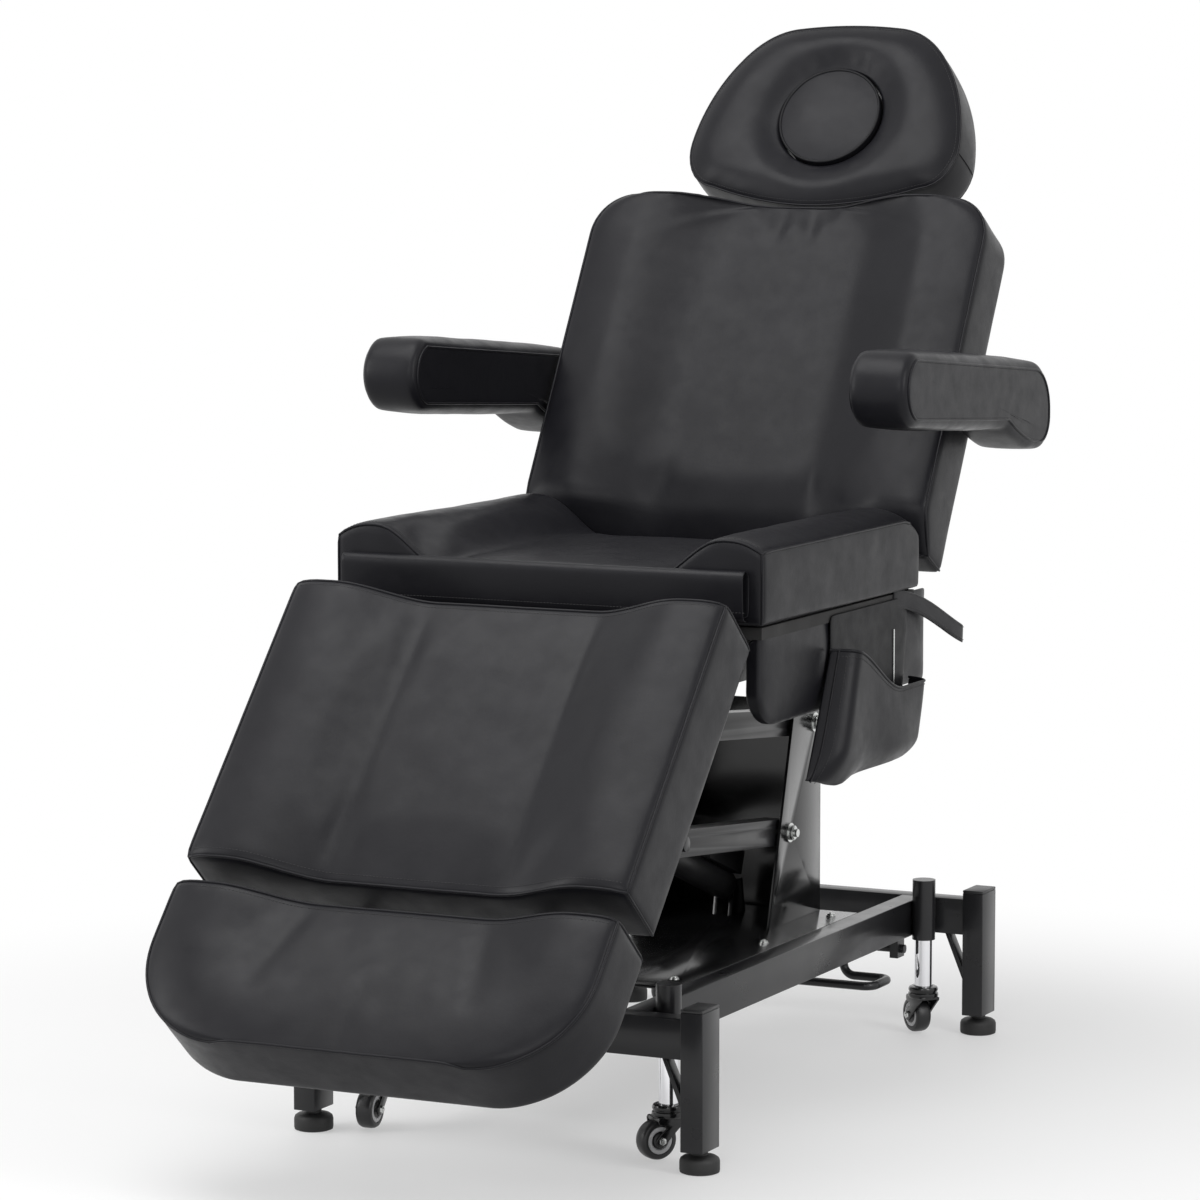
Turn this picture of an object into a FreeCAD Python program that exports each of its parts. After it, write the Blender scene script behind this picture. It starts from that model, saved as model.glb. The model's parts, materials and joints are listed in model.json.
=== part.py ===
import FreeCAD, Part
import math
import os
import re
import Sketcher
from FreeCAD import Placement, Rotation, Vector

# Electric beauty bed. +Z up, -Y towards the foot end, +Y towards the head end, millimetres and
# degrees. The sizes are written from the floor under the middle of the base, and each piece is
# then moved by originShift, so that the origin is on the floor under the middle of the whole bed.
driving = {
    "originShift": 100,
    # base frame
    "baseLength": 980, "baseWidth": 570, "postWidth": 30, "postDepth": 50, "postTop": 205,
    "postBottom": 28, "capThick": 4, "tubeWall": 2, "railWidth": 30, "railHeight": 50,
    "railBottom": 140, "casterClear": 6, "glideRadius": 25, "glideHeight": 22, "glideNeck": 10,
    "braceWide": 20, "braceThick": 6, "braceReach": 26, "braceFoot": 62,
    # tray, column and lifting arms
    "trayFront": -300, "trayRear": 290, "trayThick": 4, "plateThick": 4, "columnWidth": 208,
    "columnFoot": 117, "columnBack": 289, "columnNeck": 200, "columnTop": 480, "lowPivotY": 184,
    "lowPivotZ": 313, "highPivotY": 266, "highPivotZ": 454, "armLength": 330, "armRise": 5.6,
    "armTall": 36, "armThick": 30, "armGap": 4, "boltRadius": 6, "nutRadius": 10, "nutThick": 7,
    "crossBarRadius": 7, "crossBarAt": 280, "runClear": 0.05, "loopClear": 0.3,
    # casters and their pedal
    "socketRadius": 16, "socketBottom": 136, "socketTop": 220, "socketLid": 6, "casterSpan": 836,
    "casterRodRadius": 12.5, "casterRodBottom": 62, "casterRodTop": 200, "kingpinRadius": 5,
    "kingpinLength": 24, "wheelRadius": 25, "wheelWide": 22, "wheelFloat": 2, "casterTrail": 18,
    "forkThick": 4, "forkGap": 0.5, "axleRadius": 4, "casterYaw1": 230, "casterYaw2": 120,
    "casterYaw3": 326, "casterYaw4": 5, "pedalInset": 54, "pedalShaftZ": 124,
    "pedalRadius": 6, "pedalOver": 6, "pedalArmX": 95, "pedalStepZ": 80, "pedalStepOut": 70,
    "pedalStepDeep": 66, "pedalLugRadius": 12,
    # linear drives
    "liftRadius": 20, "liftRodRadius": 10, "sideRadius": 16, "sideRodRadius": 8, "drivePin": 5,
    "driveEye": 13, "driveEyeWide": 16, "driveEyeGap": 0.5, "earThick": 6, "motorWide": 50,
    "motorTall": 32, "motorLong": 110, "slotTall": 13, "slotSlack": 3.5, "yokeTall": 20,
    "yokeWall": 7, "liftPivotY": 215, "liftPivotZ": 225, "liftTube": 215, "sideDriveX": 125,
    "backDriveY": -150, "backTube": 260, "legDriveY": 120, "legTube": 260,
    # seat
    "seatWidth": 600, "seatFront": -345, "seatRear": 160, "seatBottom": 655, "padDepth": 95,
    "bolsterWide": 72, "bolsterSlope": 46, "padDip": 26, "padEdge": 14, "padCrown": 4,
    "boardThick": 15, "boardInset": 10, "frameTube": 30, "frameTall": 25, "frameInset": 100,
    "frameMid1": -135,
    "frameMid2": -35, "frameRear": 145, "bracketThick": 6, "bracketGap": 2, "hingeRadius": 6,
    "hingeLug": 11, "lugThick": 6, "lugGap": 3, "barThick": 10,
    "skirtThick": 28, "skirtBottom": 525, "skirtRear": 222, "skirtFront": -330, "skirtRound": 60,
    # back, leg, foot and head rests, each in the frame of its own hinge
    "backHingeY": 232, "backHingeZ": 660, "backLean": 30, "backFace": 90, "backDepth": 93,
    "backLow": 12, "backChamfer": 50, "backTop": 533, "backRound": 62, "backDip": 18,
    "backCrankY": 57.3, "backCrankZ": -40.1, "receiverRadius": 12, "receiverLow": 380, "receiverBack": 56,
    "receiverX": 60, "headRodRadius": 7, "headRodLow": 400, "headHingeUp": 610,
    "headFace": 47, "headDepth": 93, "headLow": 545, "headTall": 295, "headWide": 410,
    "faceHole": 76, "plugGap": 1, "armPivotUp": 248, "armPivotBack": 30, "armPin": 10,
    "legHingeY": -357, "legHingeZ": 645, "legDrop": 48.3, "legFace": 105, "legStart": 22,
    "legEnd": 438, "legDepth": 98, "legCrankY": -33.2, "legCrankZ": -61.6, "footStart": 471,
    "footEnd": 686, "footDepth": 93, "footRound": 130, "slideRadius": 12, "slideRodRadius": 9,
    "slideX": 120, "slideLow": 200, "slideHigh": 430, "boardSide": 20, "boardGap": 3,
    "backBoardLow": 30, "backBoardTall": 480, "backBarTop": 480, "backTubeLow": 85,
    "backTubeHigh": 450, "receiverHigh": 500, "legBarEnd": 420, "legBarDeep": 35, "legBarTop": 5,
    "legTubeOne": 90, "legTubeTwo": 260, "legTubeThree": 410, "legBoardStart": 40,
    "footBoardHalf": 220, "footBoardLong": 170, "footBoardThick": 8, "footBoardEnd": 650,
    "footRodLong": 300, "footRodEnd": 560, "hangerWide": 20, "hangerLong": 40,
    "headPlateHalf": 45, "headPlateTall": 120, "headPlateLow": 580, "headPlateThick": 4,
    "headLugX": 30,
    # arm rests
    "armPadGap": 10, "armPadWide": 80, "armPadFront": -115, "armPadRear": 412,
    "armPadTop": 985, "armPadFall": 40, "armPadTall": 98, "armPadHeel": 34,
    # hand control, its holder, cord and box, pocket, flap and strap
    "boxLong": 130, "boxTall": 50, "boxThick": 40, "boxY": 0, "glandRadius": 6, "glandLong": 12,
    "glandAt": 100, "handLong": 165, "handWide": 52, "handThick": 24, "handWaist": 44,
    "handY": 20, "handZ": 565, "holderThick": 3, "holderWide": 44, "holderLong": 120,
    "wingLow": 10, "wingTall": 34, "tabWide": 18, "handFit": 0.2, "quadX": 9.5, "topQuadZ": 38,
    "lowQuadZ": -17.5, "quadWide": 16, "quadTall": 17.5, "moonZ": 10.5, "moonRadius": 15.6,
    "buttonRise": 1.5, "buttonTravel": 1, "buttonGap": 0.4, "cordRadius": 2.5,
    "reliefLong": 26, "pocketFront": -190, "pocketRear": 165, "pocketBottom": 435,
    "pocketTop": 606, "pocketDrop": 66, "pocketDeep": 52, "pocketWall": 3, "flapTall": 64,
    "flapThick": 22, "flapWall": 2.5, "flapInset": 18, "strapWide": 24, "strapThick": 5,
    "strapLong": 210, "strapTop": 634, "strapInset": 20,
}

doc = FreeCAD.newDocument("beautyBed")
sheet = doc.addObject("Spreadsheet::Sheet", "Sizes")
for row, (alias, number) in enumerate(driving.items(), 1):
    sheet.set(f"A{row}", alias)
    sheet.set(f"B{row}", str(number))
    sheet.setAlias(f"B{row}", alias)
doc.recompute()
nodes = []

# widths that follow the seat's
follows = {
    "frameX": "(seatWidth / 2 - frameInset)",
    "boardHalfWide": "(seatWidth / 2 - boardSide)",
    "armPadInner": "(seatWidth / 2 + armPadGap)",
    "flapHalf": "(seatWidth / 2 - flapInset)",
    "strapX": "(seatWidth / 2 - strapInset)",
}


def bound(text):
    full = re.sub(r"[A-Za-z]\w*", lambda w: follows.get(w[0], w[0]), str(text))
    return re.sub(r"[A-Za-z]\w*", lambda w: "Sizes." + w[0] if w[0] in driving else w[0], full)


def value(text):
    return float(sheet.evalExpression(bound(text)))


def bind(thing, **links):
    for name, text in links.items():
        thing.setExpression(name, bound(text))
    return thing


def place(thing, x=0, y=0, z=0, axis=None, angle=None):
    if axis is not None:
        thing.Placement = Placement(Vector(), Rotation(axis, 30))
        thing.setExpression("Placement.Rotation.Angle", bound(angle))
    for name, text in zip("xyz", (x, y, z)):
        thing.setExpression("Placement.Base." + name, bound(text))
    return thing


def block(long, wide, tall, x, y, z):
    thing = doc.addObject("Part::Box", "block")
    return place(bind(thing, Length=long, Width=wide, Height=tall), x, y, z)


def bar(radius, long, x, y, z, along="z"):
    thing = doc.addObject("Part::Cylinder", "bar")
    bind(thing, Radius=radius, Height=long)
    turns = {"x": (Vector(0, 1, 0), 90), "y": (Vector(1, 0, 0), -90), "z": (None, None)}
    return place(thing, x, y, z, *turns[along])


def fuse(*parts):
    thing = doc.addObject("Part::MultiFuse", "fuse")
    thing.Shapes = list(parts)
    return thing


def cut(base, tool):
    thing = doc.addObject("Part::Cut", "cut")
    thing.Base = base
    thing.Tool = tool
    return thing


def group(*parts):
    thing = doc.addObject("Part::Compound", "group")
    thing.Links = list(parts)
    return thing


def mirrored(part, normal=(1, 0, 0)):
    thing = doc.addObject("Part::Mirroring", "mirrored")
    thing.Source = part
    thing.Normal = Vector(*normal)
    return thing


def node(label, thing):
    moved = place(group(thing), 0, "originShift", 0)
    moved.Label = label
    nodes.append(moved)
    return thing


def solid(shape):
    thing = doc.addObject("Part::Feature", "solid")
    thing.Shape = shape
    return thing


def tubeY(wide, tall, long, x, y, z):
    inner = block(f"({wide}) - 2 * tubeWall", long, f"({tall}) - 2 * tubeWall",
                  f"({x}) + tubeWall", y, f"({z}) + tubeWall")
    return cut(block(wide, long, tall, x, y, z), inner)


def tubeX(long, wide, tall, x, y, z):
    inner = block(long, f"({wide}) - 2 * tubeWall", f"({tall}) - 2 * tubeWall",
                  x, f"({y}) + tubeWall", f"({z}) + tubeWall")
    return cut(block(long, wide, tall, x, y, z), inner)


def originPlane(body, role):
    return next(plane for plane in body.Origin.OriginFeatures if plane.Role == role)


def outlineSketch(body, role, outline, holes=()):
    sketch = body.newObject("Sketcher::SketchObject", "outline")
    sketch.AttachmentSupport = [(originPlane(body, role), "")]
    sketch.MapMode = "FlatFace"
    corners = [Vector(value(u), value(v), 0) for u, v in outline]
    for here, there in zip(corners, corners[1:] + corners[:1]):
        sketch.addGeometry(Part.LineSegment(here, there), False)
    for index, (u, v) in enumerate(outline):
        ahead = (index + 1) % len(outline)
        sketch.addConstraint(Sketcher.Constraint("Coincident", index, 2, ahead, 1))
        pinPoint(sketch, index, 1, u, v)
    for u, v, radius in holes:
        circle = Part.Circle(Vector(value(u), value(v), 0), Vector(0, 0, 1), value(radius))
        index = sketch.addGeometry(circle, False)
        pinPoint(sketch, index, 3, u, v)
        size = sketch.addConstraint(Sketcher.Constraint("Radius", index, value(radius)))
        sketch.setExpression(f"Constraints[{size}]", bound(radius))
    return sketch


def pinPoint(sketch, index, point, u, v):
    for kind, text in (("DistanceX", u), ("DistanceY", v)):
        rule = Sketcher.Constraint(kind, -1, 1, index, point, value(text))
        number = sketch.addConstraint(rule)
        sketch.setExpression(f"Constraints[{number}]", bound(text))


def plate(outline, thick, x, y=0, z=0, holes=(), axis=None, angle=None):
    body = doc.addObject("PartDesign::Body", "plate")
    sketch = outlineSketch(body, "YZ_Plane", outline, holes)
    pad = body.newObject("PartDesign::Pad", "pad")
    pad.Profile = sketch
    bind(pad, Length=thick)
    return place(body, x, y, z, axis, angle)


def turned(outline):
    body = doc.addObject("PartDesign::Body", "turned")
    sketch = outlineSketch(body, "XY_Plane", outline)
    spin = body.newObject("PartDesign::Revolution", "spin")
    spin.Profile = sketch
    spin.ReferenceAxis = (sketch, ["H_Axis"])
    spin.Angle = 360
    return body


def wireOf(edges):
    return Part.Wire(Part.__sortEdges__(edges))


def arc(first, middle, last):
    return Part.Arc(Vector(*first), Vector(*middle), Vector(*last)).toShape()


def line(first, last):
    return Part.LineSegment(Vector(*first), Vector(*last)).toShape()


# Base frame: two cross rails between the posts, two side rails between the cross rails
postIn = "baseWidth / 2 - postWidth"
crossBack = "baseLength / 2 - postDepth / 2 - railWidth / 2"
casterX = f"({postIn} - casterTrail - wheelRadius - casterClear)"
sideOut = f"({casterX} - socketRadius)"
crosses = [tubeX(f"2 * ({postIn})", "railWidth", "railHeight", f"-({postIn})", y, "railBottom")
           for y in (crossBack, f"-({crossBack}) - railWidth")]
node("cross_rails", group(*crosses))
sides = [tubeY("railWidth", "railHeight", f"2 * ({crossBack})", x, f"-({crossBack})", "railBottom")
         for x in (f"{sideOut} - railWidth", f"-{sideOut}")]
node("side_rails", group(*sides))

posts = []
caps = []
glides = []
for x in ("baseWidth / 2 - postWidth", "-baseWidth / 2"):
    for y in ("baseLength / 2 - postDepth", "-baseLength / 2"):
        tall = "postTop - capThick - postBottom"
        hollow = block("postWidth - 2 * tubeWall", "postDepth - 2 * tubeWall", f"{tall} - tubeWall",
                       f"{x} + tubeWall", f"{y} + tubeWall", "postBottom + tubeWall")
        posts.append(cut(block("postWidth", "postDepth", tall, x, y, "postBottom"), hollow))
        caps.append(block("postWidth", "postDepth", "capThick", x, y, "postTop - capThick"))
        pad = bar("glideRadius", "glideHeight", f"{x} + postWidth / 2", f"{y} + postDepth / 2", 0)
        neck = bar("glideNeck", "postBottom", f"{x} + postWidth / 2", f"{y} + postDepth / 2", 0)
        glides.append(fuse(pad, neck))
braceLine = [("0", "braceFoot"), ("0", "braceFoot + 3 * braceThick"),
             ("-braceReach", "railBottom"), ("-braceReach - braceThick", "railBottom")]
for y in ("baseLength / 2 - postDepth / 2 + braceWide / 2",
          "-baseLength / 2 + postDepth / 2 + braceWide / 2"):
    brace = plate(braceLine, "braceWide", postIn, y, 0, axis=Vector(0, 0, 1), angle="-90")
    posts += [brace, mirrored(brace)]
node("leg_posts", group(*posts))
node("post_caps", group(*caps))
node("glide_feet", group(*glides))

# Tray between the side rails, with the ears and pin that carry the lifting drive
trayTop = "railBottom + railHeight"
trayHalf = f"({sideOut} - railWidth)"
tray = block(f"2 * {trayHalf}", "trayRear - trayFront", "trayThick", f"-{trayHalf}", "trayFront",
             f"{trayTop} - trayThick")
earIn = "(driveEyeWide / 2 + driveEyeGap)"


def earPair(outline, pinY, pinZ, x="0"):
    right = plate(outline, "earThick", f"({x}) + {earIn}")
    left = plate(outline, "earThick", f"({x}) - {earIn} - earThick")
    reach = f"({earIn} + earThick)"
    pin = bar("drivePin", f"2 * {reach}", f"({x}) - {reach}", pinY, pinZ, "x")
    return [right, left, pin]


liftEar = [("liftPivotY - driveEye - 10", trayTop), ("liftPivotY + driveEye + 10", trayTop),
           ("liftPivotY + driveEye", "liftPivotZ + driveEye"),
           ("liftPivotY - driveEye", "liftPivotZ + driveEye")]
node("base_tray", fuse(tray, *earPair(liftEar, "liftPivotY", "liftPivotZ")))

# Column: two side plates and a back plate
columnSide = [("columnFoot", trayTop), ("columnBack", trayTop), ("columnBack", "columnTop"),
              ("columnNeck", "columnTop")]
columnHoles = [(f"{pivot}Y", f"{pivot}Z", "boltRadius + runClear") for pivot in ("lowPivot", "highPivot")]
columnParts = [plate(columnSide, "plateThick", x, holes=columnHoles)
               for x in ("columnWidth / 2 - plateThick", "-columnWidth / 2")]
columnParts.append(block("columnWidth", "plateThick", f"columnTop - ({trayTop})", "-columnWidth / 2",
                         "columnBack - plateThick", trayTop))
node("column", fuse(*columnParts))

armOut = "(columnWidth / 2 - plateThick - armGap)"
armIn = f"({armOut} - armThick)"
bolts = []
for pivot in ("lowPivot", "highPivot"):
    start = f"{armIn} - nutThick - 0.5"
    shank = bar("boltRadius", f"columnWidth / 2 + 12 - {start}", start, f"{pivot}Y", f"{pivot}Z", "x")
    nut = bar("nutRadius", "nutThick", start, f"{pivot}Y", f"{pivot}Z", "x")
    head = bar("nutRadius", "nutThick", "columnWidth / 2", f"{pivot}Y", f"{pivot}Z", "x")
    spacer = bar("nutRadius", "armGap - 0.3", f"{armOut} + 0.3", f"{pivot}Y", f"{pivot}Z", "x")
    bolt = fuse(shank, nut, head, spacer)
    bolts += [bolt, mirrored(bolt)]
node("column_bolts", group(*bolts))


# Lifting arms, each a pair of bars with round ends, in the frame of its column pivot
def liftArm(label, pivot, holeClear, spreaders):
    parts = []
    for x in (armIn, f"-{armOut}"):
        parts.append(block("armThick", "armLength", "armTall", x, "-armLength", "-armTall / 2"))
        for y in ("0", "-armLength"):
            parts.append(bar("armTall / 2", "armThick", x, y, 0, "x"))
    parts += [bar(radius, f"2 * {armIn}", f"-{armIn}", y, 0, "x") for radius, y in spreaders]
    span = f"2 * {armOut}"
    rear = bar("boltRadius + runClear", span, f"-{armOut}", 0, 0, "x")
    front = bar(f"boltRadius + {holeClear}", span, f"-{armOut}", "-armLength", 0, "x")
    whole = cut(fuse(*parts), fuse(rear, front))
    node(label, place(whole, 0, f"{pivot}Y", f"{pivot}Z", Vector(-1, 0, 0), "armRise"))


liftArm("lower_arm", "lowPivot", "runClear", [("crossBarRadius", "-crossBarAt")])
liftArm("upper_arm", "highPivot", "loopClear", [("armTall / 4", "-armLength / 2")])


# Linear drive from a fixed pin to a crank pin: body with motor, and a rod with a slotted yoke
def drive(label, x, fromY, fromZ, toY, toZ, tubeLong, kind, crankPin, motorLow):
    start = Vector(value(x), value(fromY), value(fromZ))
    reach = Vector(value(x), value(toY), value(toZ)) - start
    turn = Rotation(Vector(0, 1, 0), reach)
    if reach.y < 0:
        turn = Rotation(Vector(0, 0, 1), 180) * Rotation(Vector(0, 1, 0), Vector(0, -reach.y, reach.z))
    radius = f"{kind}Radius"
    rodRadius = f"{kind}RodRadius"
    eye = bar("driveEye", "driveEyeWide", "-driveEyeWide / 2", 0, 0, "x")
    neck = block("driveEyeWide", "driveEye + 12", "driveEye", "-driveEyeWide / 2", 0, "-driveEye / 2")
    tube = bar(radius, f"{tubeLong} - driveEye - 8", 0, "driveEye + 8", 0, "y")
    motor = block("motorWide", "motorLong", "motorTall", "-motorWide / 2", "driveEye + 8", motorLow)
    pinHole = bar("drivePin + runClear", "driveEyeWide", "-driveEyeWide / 2", 0, 0, "x")
    bore = bar(f"{rodRadius} + runClear", tubeLong, 0, "driveEye + 12", 0, "y")
    body = cut(fuse(eye, neck, tube, motor), fuse(pinHole, bore))
    body.Placement = Placement(start, turn)
    node(label + "_drive", body)
    long = reach.Length
    slotWide = f"({crankPin} + slotSlack)"
    yokeWide = f"({slotWide} + yokeWall)"
    rodStart = f"{long} - 2 * ({long} - {tubeLong}) - 10"
    rod = bar(rodRadius, f"{long} - ({rodStart}) - {slotWide} - 2", 0, rodStart, 0, "y")
    yoke = block("driveEyeWide", f"2 * {yokeWide}", "2 * yokeTall", "-driveEyeWide / 2",
                 f"{long} - {yokeWide}", "-yokeTall")
    slot = block("driveEyeWide", f"2 * {slotWide}", "2 * slotTall", "-driveEyeWide / 2",
                 f"{long} - {slotWide}", "-slotTall")
    whole = cut(fuse(rod, yoke), slot)
    whole.Placement = Placement(start, turn)
    node(label + "_rod", whole)


drive("lift", "0", "liftPivotY", "liftPivotZ", "lowPivotY - crossBarAt * cos(armRise * 1 deg)",
      "lowPivotZ + crossBarAt * sin(armRise * 1 deg)", "liftTube", "lift", "crossBarRadius",
      "liftRadius - 4")

# Casters: sockets welded to the side rails, rods that slide in them, forks and wheels
casterY = "casterSpan / 2"
sockets = []
rods = []
places = [(casterX, casterY), (f"-{casterX}", casterY), (casterX, f"-{casterY}"),
          (f"-{casterX}", f"-{casterY}")]
wheelZ = "(wheelRadius + wheelFloat)"
forkTop = "(casterRodBottom - 0.3)"
bridge = f"({wheelZ} + wheelRadius + 2)"
for number, (x, y) in enumerate(places, 1):
    tube = bar("socketRadius", "socketTop - socketBottom", x, y, "socketBottom")
    bore = bar("casterRodRadius + runClear", "socketTop - socketLid - socketBottom", x, y, "socketBottom")
    sockets.append(cut(tube, bore))
    rod = bar("casterRodRadius", "casterRodTop - casterRodBottom", x, y, "casterRodBottom")
    hole = bar("kingpinRadius + runClear", "kingpinLength + 4", x, y, "casterRodBottom")
    rods.append(cut(rod, hole))
    cheek = [("14", f"{forkTop}"), ("-14", f"{forkTop}"), ("-casterTrail - 9", f"{wheelZ} + 8"),
             ("-casterTrail - 9", f"{wheelZ} - 8"), ("-casterTrail + 9", f"{wheelZ} - 8"),
             ("14", f"{bridge} - 8")]
    inside = "(wheelWide / 2 + forkGap)"
    forkParts = [plate(cheek, "forkThick", side) for side in (inside, f"-{inside} - forkThick")]
    forkParts.append(block(f"2 * {inside}", 28, f"{forkTop} - {bridge}", f"-{inside}", -14, bridge))
    forkParts.append(bar("kingpinRadius", "kingpinLength + 2", 0, 0, f"{forkTop} - 2"))
    reach = f"({inside} + forkThick + 2)"
    forkParts.append(bar("axleRadius", f"2 * {reach}", f"-{reach}", "-casterTrail", wheelZ, "x"))
    fork = place(fuse(*forkParts), x, y, 0, Vector(0, 0, 1), f"casterYaw{number}")
    node(f"caster_fork_{number}", fork)
    half = "wheelWide / 2"
    tread = [(f"-{half}", "axleRadius + runClear"), (half, "axleRadius + runClear"),
             (half, "wheelRadius - 4"), (f"{half} - 4", "wheelRadius"),
             (f"-{half} + 4", "wheelRadius"), (f"-{half}", "wheelRadius - 4")]
    wheel = place(turned(tread), 0, "-casterTrail", wheelZ)
    node(f"caster_wheel_{number}",
         place(group(wheel), x, y, 0, Vector(0, 0, 1), f"casterYaw{number}"))
node("caster_sockets", group(*sockets))
node("caster_rods", group(*rods))

# Pedal: a cross shaft in two lugs under the side rails, with a bent step rod
lugs = []
lugX = f"({sideOut} - railWidth / 2)"
pedalY = f"({crossBack} - pedalInset)"
lugLine = [(f"{pedalY} - pedalLugRadius", "railBottom"),
           (f"{pedalY} - pedalLugRadius", "pedalShaftZ - pedalLugRadius"),
           (f"{pedalY} + pedalLugRadius", "pedalShaftZ - pedalLugRadius"),
           (f"{pedalY} + pedalLugRadius", "railBottom")]
lugHole = [(pedalY, "pedalShaftZ", "pedalRadius + runClear")]
lug = plate(lugLine, "2 * earThick", f"{lugX} - earThick", holes=lugHole)
node("pedal_lugs", group(lug, mirrored(lug)))
shaftOut = f"({lugX} + earThick + pedalOver)"
shaft = bar("pedalRadius", f"2 * {shaftOut}", f"-{shaftOut}", pedalY, "pedalShaftZ", "x")
stepTop = Vector(value("pedalArmX"), value(pedalY), value("pedalShaftZ"))
stepLow = Vector(stepTop.x, stepTop.y, value("pedalStepZ"))
stepOut = stepLow + Vector(value("pedalStepOut"), 0, 0)
stepFar = stepOut - Vector(0, value("pedalStepDeep"), 0)
stepEnd = stepFar - Vector(1.6 * value("pedalStepOut"), 0, 0)


# A path of straight runs joined by tangent arcs, and the round bar swept along it
def roundedPath(points, radiusAt):
    edges = []
    begin = points[0]
    for here, before, after in zip(points[1:-1], points, points[2:]):
        back = (before - here).normalize()
        ahead = (after - here).normalize()
        half = back.getAngle(ahead) / 2
        radius = radiusAt(here.distanceToPoint(before), here.distanceToPoint(after), half)
        trim = radius / math.tan(half)
        first = here + back * trim
        last = here + ahead * trim
        centre = here + (back + ahead).normalize() * (radius / math.sin(half))
        middle = centre + (here - centre).normalize() * radius
        edges.append(Part.LineSegment(begin, first).toShape())
        edges.append(Part.Arc(first, middle, last).toShape())
        begin = last
    edges.append(Part.LineSegment(begin, points[-1]).toShape())
    return Part.Wire(edges)


def sweptBar(path, radius):
    first = path.Edges[0]
    tangent = first.tangentAt(first.FirstParameter)
    ring = Part.Wire(Part.makeCircle(radius, first.valueAt(first.FirstParameter), tangent))
    return path.makePipeShell([ring], True, False)


stepPath = roundedPath([stepTop, stepLow, stepOut, stepFar, stepEnd], lambda a, b, half: 16)
step = solid(sweptBar(stepPath, value("pedalRadius")))
node("pedal", fuse(shaft, step))

# Seat frame: side tubes, cross tubes, hinge ears with pins, and ears for the two side drives
tubeLow = "seatBottom - boardThick - frameTall"
frameParts = [tubeY("frameTube", "frameTall", "frameRear + 80 - seatFront - 5", x, "seatFront + 5", tubeLow)
              for x in ("frameX - frameTube / 2", "-frameX - frameTube / 2")]
crossIn = "(frameX - frameTube / 2)"
for y in ("seatFront + 5 + frameTube / 2", "frameMid1", "frameMid2", "frameRear"):
    frameParts.append(tubeX(f"2 * {crossIn}", "frameTube", "frameTall", f"-{crossIn}",
                            f"{y} - frameTube / 2", tubeLow))
earX = "(frameX + frameTube / 2)"
pinOut = "(lugThick + lugGap + barThick + 6)"
tubeTop = f"({tubeLow} + frameTall)"
legEar = [("legHingeY - hingeLug", "legHingeZ - 5"), ("legHingeY - 4", "legHingeZ - hingeLug"),
          ("legHingeY + 20", f"{tubeLow} + 4"), ("legHingeY + 60", f"{tubeLow} + 4"),
          ("legHingeY + 60", tubeTop), ("legHingeY + 25", tubeTop),
          ("legHingeY + 6", "legHingeZ + hingeLug - 2"), ("legHingeY - 5", "legHingeZ + hingeLug"),
          ("legHingeY - hingeLug", "legHingeZ + 5")]
backEar = [("backHingeY - 60", f"{tubeLow} + 4"), ("backHingeY - 16", f"{tubeLow} + 4"),
           ("backHingeY + hingeLug - 2", "backHingeZ - 6"), ("backHingeY + hingeLug - 2", "backHingeZ + 4"),
           ("backHingeY + 3", "backHingeZ + hingeLug - 2"), ("backHingeY - 6", "backHingeZ + hingeLug - 2"),
           ("backHingeY - hingeLug", "backHingeZ + 4"), ("backHingeY - 22", tubeTop),
           ("backHingeY - 60", tubeTop)]
for outline, hinge in ((legEar, "legHinge"), (backEar, "backHinge")):
    ear = fuse(plate(outline, "lugThick", earX),
               bar("hingeRadius", pinOut, earX, f"{hinge}Y", f"{hinge}Z", "x"))
    frameParts += [ear, mirrored(ear)]
backPinY = "(backHingeY + backCrankY * cos(backLean * 1 deg) + backCrankZ * sin(backLean * 1 deg))"
backPinZ = "(backHingeZ - backCrankY * sin(backLean * 1 deg) + backCrankZ * cos(backLean * 1 deg))"
legPinY = "(legHingeY + legCrankY * cos(legDrop * 1 deg) - legCrankZ * sin(legDrop * 1 deg))"
legPinZ = "(legHingeZ + legCrankY * sin(legDrop * 1 deg) + legCrankZ * cos(legDrop * 1 deg))"
for y, z, x, earRear in (("backDriveY", backPinZ, "sideDriveX", "backDriveY + driveEye"),
                         ("legDriveY", legPinZ, "-sideDriveX", "frameRear + frameTube / 2")):
    ear = [(f"{y} - driveEye", f"{z} - driveEye"), (f"{y} + driveEye", f"{z} - driveEye"),
           (earRear, tubeLow), (f"{earRear} - 2 * driveEye", tubeLow)]
    frameParts.append(fuse(*earPair(ear, y, z, x)))
node("seat_frame", group(*frameParts))
under = "-sideRadius + 3 - motorTall"
drive("back", "sideDriveX", "backDriveY", backPinZ, backPinY, backPinZ, "backTube", "side",
      "drivePin", under)
drive("leg", "-sideDriveX", "legDriveY", legPinZ, legPinY, legPinZ, "legTube", "side",
      "drivePin", under)

# Lift brackets: plates that carry the front ends of both arms
frontY = f"-armLength * cos(armRise * 1 deg)"
frontZ = f"armLength * sin(armRise * 1 deg)"
lowY = f"(lowPivotY + {frontY})"
lowZ = f"(lowPivotZ + {frontZ})"
highY = f"(highPivotY + {frontY})"
highZ = f"(highPivotZ + {frontZ})"
bracketLine = [("frameMid1 - 25", tubeLow), (f"{lowY} - 18", lowZ), (f"{lowY} - 8", f"{lowZ} - 18"),
               (f"{lowY} + 12", f"{lowZ} - 18"), (f"{lowY} + 22", f"{lowZ} - 5"),
               (f"{highY} + 22", f"{highZ} - 8"), (f"{highY} + 24", f"{highZ} + 14"),
               ("frameMid2 + 25", tubeLow)]
bracketX = f"({armIn} - bracketGap - bracketThick)"
bracketParts = [plate(bracketLine, "bracketThick", bracketX)]
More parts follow.
